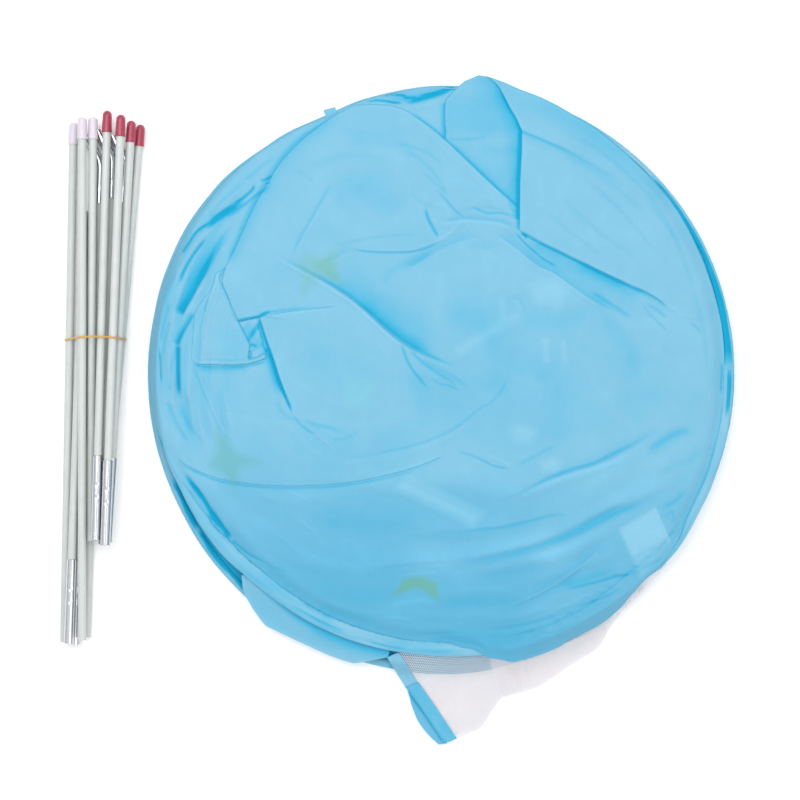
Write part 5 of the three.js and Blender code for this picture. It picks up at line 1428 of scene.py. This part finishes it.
stitches("stitch_rim_seam", seam, "top_coil", zf=lambda a, b: ground(np.asarray(a, float), np.asarray(b, float))[0], length=2.4)


def tab_z(u, v):
    d, s = near(u, v, np.array([(324.6, 113), (336, 109)]))
    return 27.2 + 0.5 * noise(u / 5.0, v / 5.0, 97), 0.03 * noise(u / 3.0, v / 3.0, 98)


u, v, q = region_grid([(323.4, 110.2), (335, 107.0), (338.6, 116.5), (327.5, 121)], 0.9)
z, t = tab_z(u, v)
tab = new_mesh("rim_tab", place(u, v, z), q, M_TAPE, colour(u, v, 0.10 + t, 30, False))
finish_cloth(tab, "top_coil", 0.9, ("rim_pull_tab",))

# ------------------------------------------------------------------ poles
def axis_frame(a, b):
    a, b = np.asarray(a, float), np.asarray(b, float)
    d = (b - a) / np.linalg.norm(b - a)
    s = np.cross(d, (0, 0, 1.0))
    s /= np.linalg.norm(s)
    return a, d, s, np.cross(s, d)


def turned(name, a, b, profile, mat, n=36, dent=None, shade_angle=35):
    """A turned piece along the line from a towards b, in mm: profile is (radius, along)."""
    a, d, s, w = axis_frame(a, b)
    prof = np.asarray(profile, float)
    ang = np.arange(n) * 2 * np.pi / n
    rad = np.repeat(prof[:, 0][:, None], n, 1)
    if dent is not None:
        rad = dent(rad, prof[:, 1][:, None], ang[None, :])
    P = a + prof[:, 1][:, None, None] * d + rad[:, :, None] * (np.cos(ang)[None, :, None] * s + np.sin(ang)[None, :, None] * w)
    m = len(prof)
    V, F = [], []
    ids = []
    for i in range(m):
        if prof[i, 0] < 1e-6:
            V.append(P[i, :1])
            ids.append(None)
        else:
            V.append(P[i])
            ids.append(True)
    start = np.concatenate([[0], np.cumsum([len(x) for x in V])])
    V = np.vstack(V)
    for i in range(m - 1):
        for j in range(n):
            k = (j + 1) % n
            p0 = start[i] + (j if ids[i] else 0)
            p1 = start[i] + (k if ids[i] else 0)
            p2 = start[i + 1] + (k if ids[i + 1] else 0)
            p3 = start[i + 1] + (j if ids[i + 1] else 0)
            F.append([p0, p1, p2, p3])
    me = bpy.data.meshes.new(name)
    faces = []
    for f in F:
        g = [f[0]]
        for x in f[1:]:
            if x != g[-1]:
                g.append(x)
        if g[-1] == g[0]:
            g.pop()
        if len(g) > 2:
            faces.append(g)
    me.from_pydata((V / 1000).tolist(), [], faces)
    me.validate()
    me.update()
    for pl in me.polygons:
        pl.use_smooth = True
    me.set_sharp_from_angle(angle=math.radians(shade_angle))
    o = bpy.data.objects.new(name, me)
    bpy.context.scene.collection.objects.link(o)
    me.materials.append(mat)
    # faces point out
    if volume(o) < 0:
        me.flip_normals()
    return o


def volume(o):
    me = o.data
    me.calc_loop_triangles()
    c = np.zeros(len(me.vertices) * 3)
    me.vertices.foreach_get("co", c)
    c = c.reshape(-1, 3)
    t = np.zeros(len(me.loop_triangles) * 3, np.int32)
    me.loop_triangles.foreach_get("vertices", t)
    t = t.reshape(-1, 3)
    return float(np.einsum("ij,ij->i", c[t[:, 0]], np.cross(c[t[:, 1]], c[t[:, 2]])).sum() / 6)


def mm_point(x, y, z):
    return np.array([x - SX, y - SY, z])


RODS = {
    "white_long_pole_1": ((-310.70, 274.80, 5.00), (-319.63, -222.87, 5.00), "white"),
    "white_long_pole_2": ((-300.32, 278.11, 19.80), (-300.52, -219.36, 19.70), "white"),
    "white_short_pole": ((-290.68, 278.72, 15.00), (-293.25, -125.28, 13.70), "white"),
    "red_pole_1": ((-276.84, 284.96, 15.50), (-286.04, -123.30, 30.00), "red"),
    "red_pole_2": ((-262.87, 280.16, 23.20), (-276.56, -127.77, 34.20), "red"),
    "red_pole_3": ((-253.89, 275.49, 14.80), (-275.61, -125.58, 24.10), "red"),
    "red_pole_4": ((-246.23, 272.88, 5.00), (-280.84, -128.12, 14.20), "red"),
    "elbow_pole_1": ((-286.01, 198.90, 5.00), (-297.83, -218.07, 5.00), "elbow"),
    "elbow_pole_2": ((-274.58, 203.70, 5.00), (-282.17, -125.84, 5.00), "elbow"),
    "elbow_pole_3": ((-262.14, 198.73, 6.90), (-287.66, -124.82, 21.00), "elbow"),
    "ferrule_pole_1": ((-299.85, 190.70, 11.00), (-313.84, -222.83, 14.20), "ferrule"),
    "ferrule_pole_2": ((-294.37, 189.29, 5.00), (-309.16, -224.60, 5.00), "ferrule"),
}


def rod_profile(length):
    return [(0, 0), (3.55, 0), (3.95, 0.35), (3.95, length * 0.5), (3.95, length - 0.35), (3.55, length), (0, length)]


def cap_profile(white):
    # rounded nose, straight sides that flare a little at the open end, thin rolled lip
    nose = [(0, -2.6)]
    for i in range(1, 9):
        g = i / 8 * math.pi / 2
        if white:
            nose.append((4.35 * math.sin(g) ** 0.85, -2.6 + 2.9 * (1 - math.cos(g))))
        else:
            nose.append((4.25 * math.sin(g) ** 0.95, -2.6 + 4.3 * (1 - math.cos(g))))
    body = [(4.45, 4.0), (4.55, 8.0), (4.68, 12.5), (4.82, 16.6), (4.90, 17.6), (4.86, 18.2), (4.62, 18.4), (4.30, 18.2), (4.28, 12.0), (4.28, 0.2), (4.0, 0.0), (0, 0.0)]
    return nose + body


def dented(positions, depth=0.55, at=math.pi / 2):
    def f(rad, along, ang):
        k = np.zeros(np.broadcast(along, ang).shape)
        for p in positions:
            da = np.angle(np.exp(1j * (ang - at)))
            k = k + np.exp(-(((along - p) / 1.3) ** 2)) * np.exp(-((da / 0.42) ** 2))
        outer = rad > 4.5
        return rad - depth * k * outer

    return f


def ferrule_profile(length):
    prof = [(4.30, 0.0), (4.55, -0.25), (4.80, 0.0)]
    for x in np.linspace(0.6, length - 0.6, 60):
        prof.append((4.80, x))
    prof += [(4.80, length), (4.55, length + 0.25), (4.30, length), (4.30, length / 2), (4.30, 0.0)]
    return prof


def ride_pole(o, body, node):
    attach(o, body)
    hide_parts(node)
    return o


def elbow_mesh(name, T, up, side):
    """Bent tube: straight grip, a knee and the free leg, hollow all through."""
    start = T
    ka = T + up * 33
    knee = ka + up * 5
    kb = knee + side * 5
    end = kb + side * 25
    pts = [start + (ka - start) * t for t in np.linspace(0, 1, 12)]
    for t in np.linspace(0, 1, 15)[1:]:
        pts.append((1 - t) ** 2 * ka + 2 * t * (1 - t) * knee + t * t * kb)
    pts += [kb + (end - kb) * t for t in np.linspace(0, 1, 10)[1:]]
    pts = np.array(pts)
    tan = np.gradient(pts, axis=0)
    tan /= np.linalg.norm(tan, axis=1)[:, None]
    zed = np.array([0, 0, 1.0])
    sd = np.cross(tan, zed)
    sd /= np.linalg.norm(sd, axis=1)[:, None]
    upv = np.cross(sd, tan)
    n = 36
    ang = np.arange(n) * 2 * np.pi / n
    rings = []
    s_run = np.concatenate([[0], np.cumsum(np.linalg.norm(np.diff(pts, axis=0), axis=1))])
    for ri, order in ((4.80, 1), (4.30, -1)):
        idx = range(len(pts)) if order == 1 else range(len(pts) - 1, -1, -1)
        for i in idx:
            rad = np.full(n, ri)
            if ri > 4.5:
                # the tube wall puckers a little inside the bend
                bend = math.exp(-(((s_run[i] - 38) / 5.0) ** 2))
                rad = rad * (1 - 0.035 * bend * (1 + np.cos(ang)) / 2 - 0.01 * bend)
                da = np.angle(np.exp(1j * (ang - math.pi / 2)))
                rad = rad - 0.5 * math.exp(-(((s_run[i] - 15) / 1.3) ** 2)) * np.exp(-((da / 0.42) ** 2))
            rings.append(pts[i] + rad[:, None] * (np.cos(ang)[:, None] * sd[i] + np.sin(ang)[:, None] * upv[i]))
    m = len(rings)
    V = np.vstack(rings)
    F = []
    for i in range(m):
        k = (i + 1) % m
        for j in range(n):
            F.append([i * n + j, i * n + (j + 1) % n, k * n + (j + 1) % n, k * n + j])
    o = new_mesh(name, V / 1000, F, M_STEEL, sharp=40)
    if volume(o) < 0:
        o.data.flip_normals()
    return o


for name, (top, bottom, kind) in RODS.items():
    top, bottom = mm_point(*top), mm_point(*bottom)
    length = np.linalg.norm(bottom - top)
    d = (bottom - top) / length
    body = "pole_bundle" if kind == "elbow" else name
    if kind == "elbow":
        up = -d
        side = np.array([-math.sin(math.radians(28)), math.cos(math.radians(28)), 0.0])
        ride_pole(turned(name + "_grp_rod", top + up * 20, bottom, rod_profile(length + 20), M_ROD), body, name + "_rod")
        ride_pole(elbow_mesh(name + "_bent_tube", top, up, side), body, name + "_elbow")
        continue
    a = top + d * 1.5 if kind in ("white", "red") else top
    end = bottom - d * 40 if kind in ("red", "ferrule") else bottom
    ride_pole(turned(name + "_grp_rod", a, end, rod_profile(np.linalg.norm(end - a)), M_ROD), body, name + "_rod")
    if kind in ("white", "red"):
        prof = [(r_, x_ + 0.0) for r_, x_ in cap_profile(kind == "white")]
        prof = [(r_, x_ - 0.2) for r_, x_ in prof]
        ride_pole(turned(name + "_vinyl_cap", a, end, prof, M_WHITE if kind == "white" else M_RED, shade_angle=60), body, name + "_end_cap")
    if kind in ("red", "ferrule"):
        f0 = bottom - d * 80
        ride_pole(turned(name + "_joint_tube", f0, bottom, ferrule_profile(80), M_STEEL, dent=dented((28.0, 40.0), 0.5, math.pi / 2)), body, name + "_ferrule")


# ------------------------------------------------------------------ rubber band
def band():
    y0 = 66.4
    t = 0.3
    pts = []
    for top, bottom, kind in RODS.values():
        top, bottom = np.array(top), np.array(bottom)
        s = (top[1] - y0) / (top[1] - bottom[1])
        c = top + (bottom - top) * s
        for i in range(48):
            g = 2 * np.pi * i / 48
            pts.append((c[0] + (3.95 + t + 0.35) * math.cos(g), c[2] + (3.95 + t + 0.35) * math.sin(g)))
    pts = sorted(set((round(p[0], 4), round(p[1], 4)) for p in pts))

    def half(ps):
        h = []
        for p in ps:
            while len(h) > 1 and (h[-1][0] - h[-2][0]) * (p[1] - h[-2][1]) - (h[-1][1] - h[-2][1]) * (p[0] - h[-2][0]) <= 0:
                h.pop()
            h.append(p)
        return h[:-1]

    hull = np.array(half(pts) + half(pts[::-1]))
    loop = np.vstack([hull, hull[:1]])
    run = np.concatenate([[0], np.cumsum(np.hypot(*(loop[1:] - loop[:-1]).T))])
    s = np.linspace(0, run[-1], 261)[:-1]
    x, z = np.interp(s, run, loop[:, 0]), np.interp(s, run, loop[:, 1])
    dm = np.clip(np.abs(x + 288) / 34, 0, 1)
    y = y0 + 3.6 * (1 - dm**2)
    c = np.stack([x - SX, y - SY, z], 1)
    tan = np.roll(c, -1, 0) - np.roll(c, 1, 0)
    tan /= np.linalg.norm(tan, axis=1)[:, None]
    yy = np.array([0, 1.0, 0])
    nrm = np.cross(yy, tan)
    nrm /= np.linalg.norm(nrm, axis=1)[:, None]
    wid = np.cross(tan, nrm)
    rings = []
    sec = [(-0.8, -0.3), (-0.5, -0.35), (0, -0.36), (0.5, -0.35), (0.8, -0.3), (0.86, 0), (0.8, 0.3), (0.5, 0.35), (0, 0.36), (-0.5, 0.35), (-0.8, 0.3), (-0.86, 0)]
    for i in range(len(c)):
        w = 1 + 0.06 * noise(np.array([i / 9.0]), np.array([0.3]), 120)[0]
        rings.append([c[i] + w * p * wid[i] + q_ * nrm[i] for p, q_ in sec])
    V = np.array(rings).reshape(-1, 3)
    V[:, 2] = np.maximum(V[:, 2], 0.03)
    m, k = len(c), len(sec)
    F = [[i * k + j, i * k + (j + 1) % k, ((i + 1) % m) * k + (j + 1) % k, ((i + 1) % m) * k + j] for i in range(m) for j in range(k)]
    o = new_mesh("bundle_band", V / 1000, F, M_RUBBER)
    if volume(o) < 0:
        o.data.flip_normals()
    return ride_pole(o, "pole_bundle", "rubber_band")


band()

# ------------------------------------------------------------------ CAD pieces that stay, with their finish
KEEP = {
    "star_patch_upper": M_STAR, "star_patch_lower": M_STAR, "star_patch_left": M_STAR, "strap_patch": M_WEBBING, "hook_loop_patch": M_WEBBING,
}
for node, mat in KEEP.items():
    o = frame["nodes"][node]
    o = o if hasattr(o, "material_slots") else bpy.data.objects[o if isinstance(o, str) else node]
    for s in o.material_slots:
        s.material = mat

# ------------------------------------------------------------------ areas of the cloth pieces, worked out and not used
declare(top_cloth)
declare(net)
declare(net2)
declare(net3)
declare(join_east)
declare(join_west)
declare(upper_panel)
declare(wedge)
declare(big)
declare(front)
declare(right)
declare(corner)
declare(outer_cloth)
declare(floor_cloth)
declare(low_cloth)
declare(mid_under)
declare(mid_cloth)
declare(top_under)
declare(tape1)
declare(tape2)
declare(lobe)

# ------------------------------------------------------------------ floor, light, camera
bpy.ops.mesh.primitive_plane_add(size=6, location=(0, 0, -0.0002))
floor = bpy.context.object
floor.name = "studio_floor"
fm, fnt, fb, fout = material("studio_floor")
fb.inputs["Base Color"].default_value = (0.90, 0.90, 0.90, 1)
fb.inputs["Roughness"].default_value = 0.9
fb.inputs["Specular IOR Level"].default_value = 0.1
fb.inputs["Emission Color"].default_value = (1, 1, 1, 1)
fb.inputs["Emission Strength"].default_value = 0.10
floor.data.materials.append(fm)

world = bpy.data.worlds.new("studio")
bpy.context.scene.world = world
world.use_nodes = True
wn = world.node_tree
wn.nodes.clear()
wo = wn.nodes.new("ShaderNodeOutputWorld")
bg = wn.nodes.new("ShaderNodeBackground")
tc = wn.nodes.new("ShaderNodeTexCoord")
sep = wn.nodes.new("ShaderNodeSeparateXYZ")
rp = wn.nodes.new("ShaderNodeValToRGB")
rp.color_ramp.elements[0].position, rp.color_ramp.elements[0].color = 0.02, (0.55, 0.57, 0.60, 1)
rp.color_ramp.elements[1].position, rp.color_ramp.elements[1].color = 0.75, (1.0, 1.0, 1.0, 1)
wn.links.new(tc.outputs["Generated"], sep.inputs[0])
wn.links.new(sep.outputs["Z"], rp.inputs[0])
wn.links.new(rp.outputs[0], bg.inputs[0])
bg.inputs[1].default_value = 0.90
wn.links.new(bg.outputs[0], wo.inputs[0])


def area(name, loc, target, size, power, color=(1, 1, 1), size_y=None):
    l = bpy.data.lights.new(name, "AREA")
    l.energy, l.size, l.color = power, size, color
    if size_y:
        l.shape, l.size_y = "RECTANGLE", size_y
    o = bpy.data.objects.new(name, l)
    bpy.context.scene.collection.objects.link(o)
    o.location = loc
    o.rotation_euler = (Vector(target) - Vector(loc)).to_track_quat("-Z", "Y").to_euler()
    return o


area("key", (-0.55, 0.75, 1.9), (0, 0, 0), 1.4, 20)
area("fill", (0.7, -1.0, 1.8), (0, 0, 0), 1.8, 12)
area("back", (0.4, 1.7, 0.9), (0, 0, 0), 0.8, 3)

cam = bpy.data.cameras.new("camera")
cam.sensor_width, cam.lens = 36, 36 * EYE / (800 * GRID)
cam.clip_start, cam.clip_end = 0.05, 50
co = bpy.data.objects.new("camera", cam)
bpy.context.scene.collection.objects.link(co)
co.location = ((EX - SX) / 1000, (EY - SY) / 1000, EYE / 1000)
co.rotation_euler = (0, 0, 0)
bpy.context.scene.camera = co
bpy.context.scene.view_settings.view_transform = "Standard"
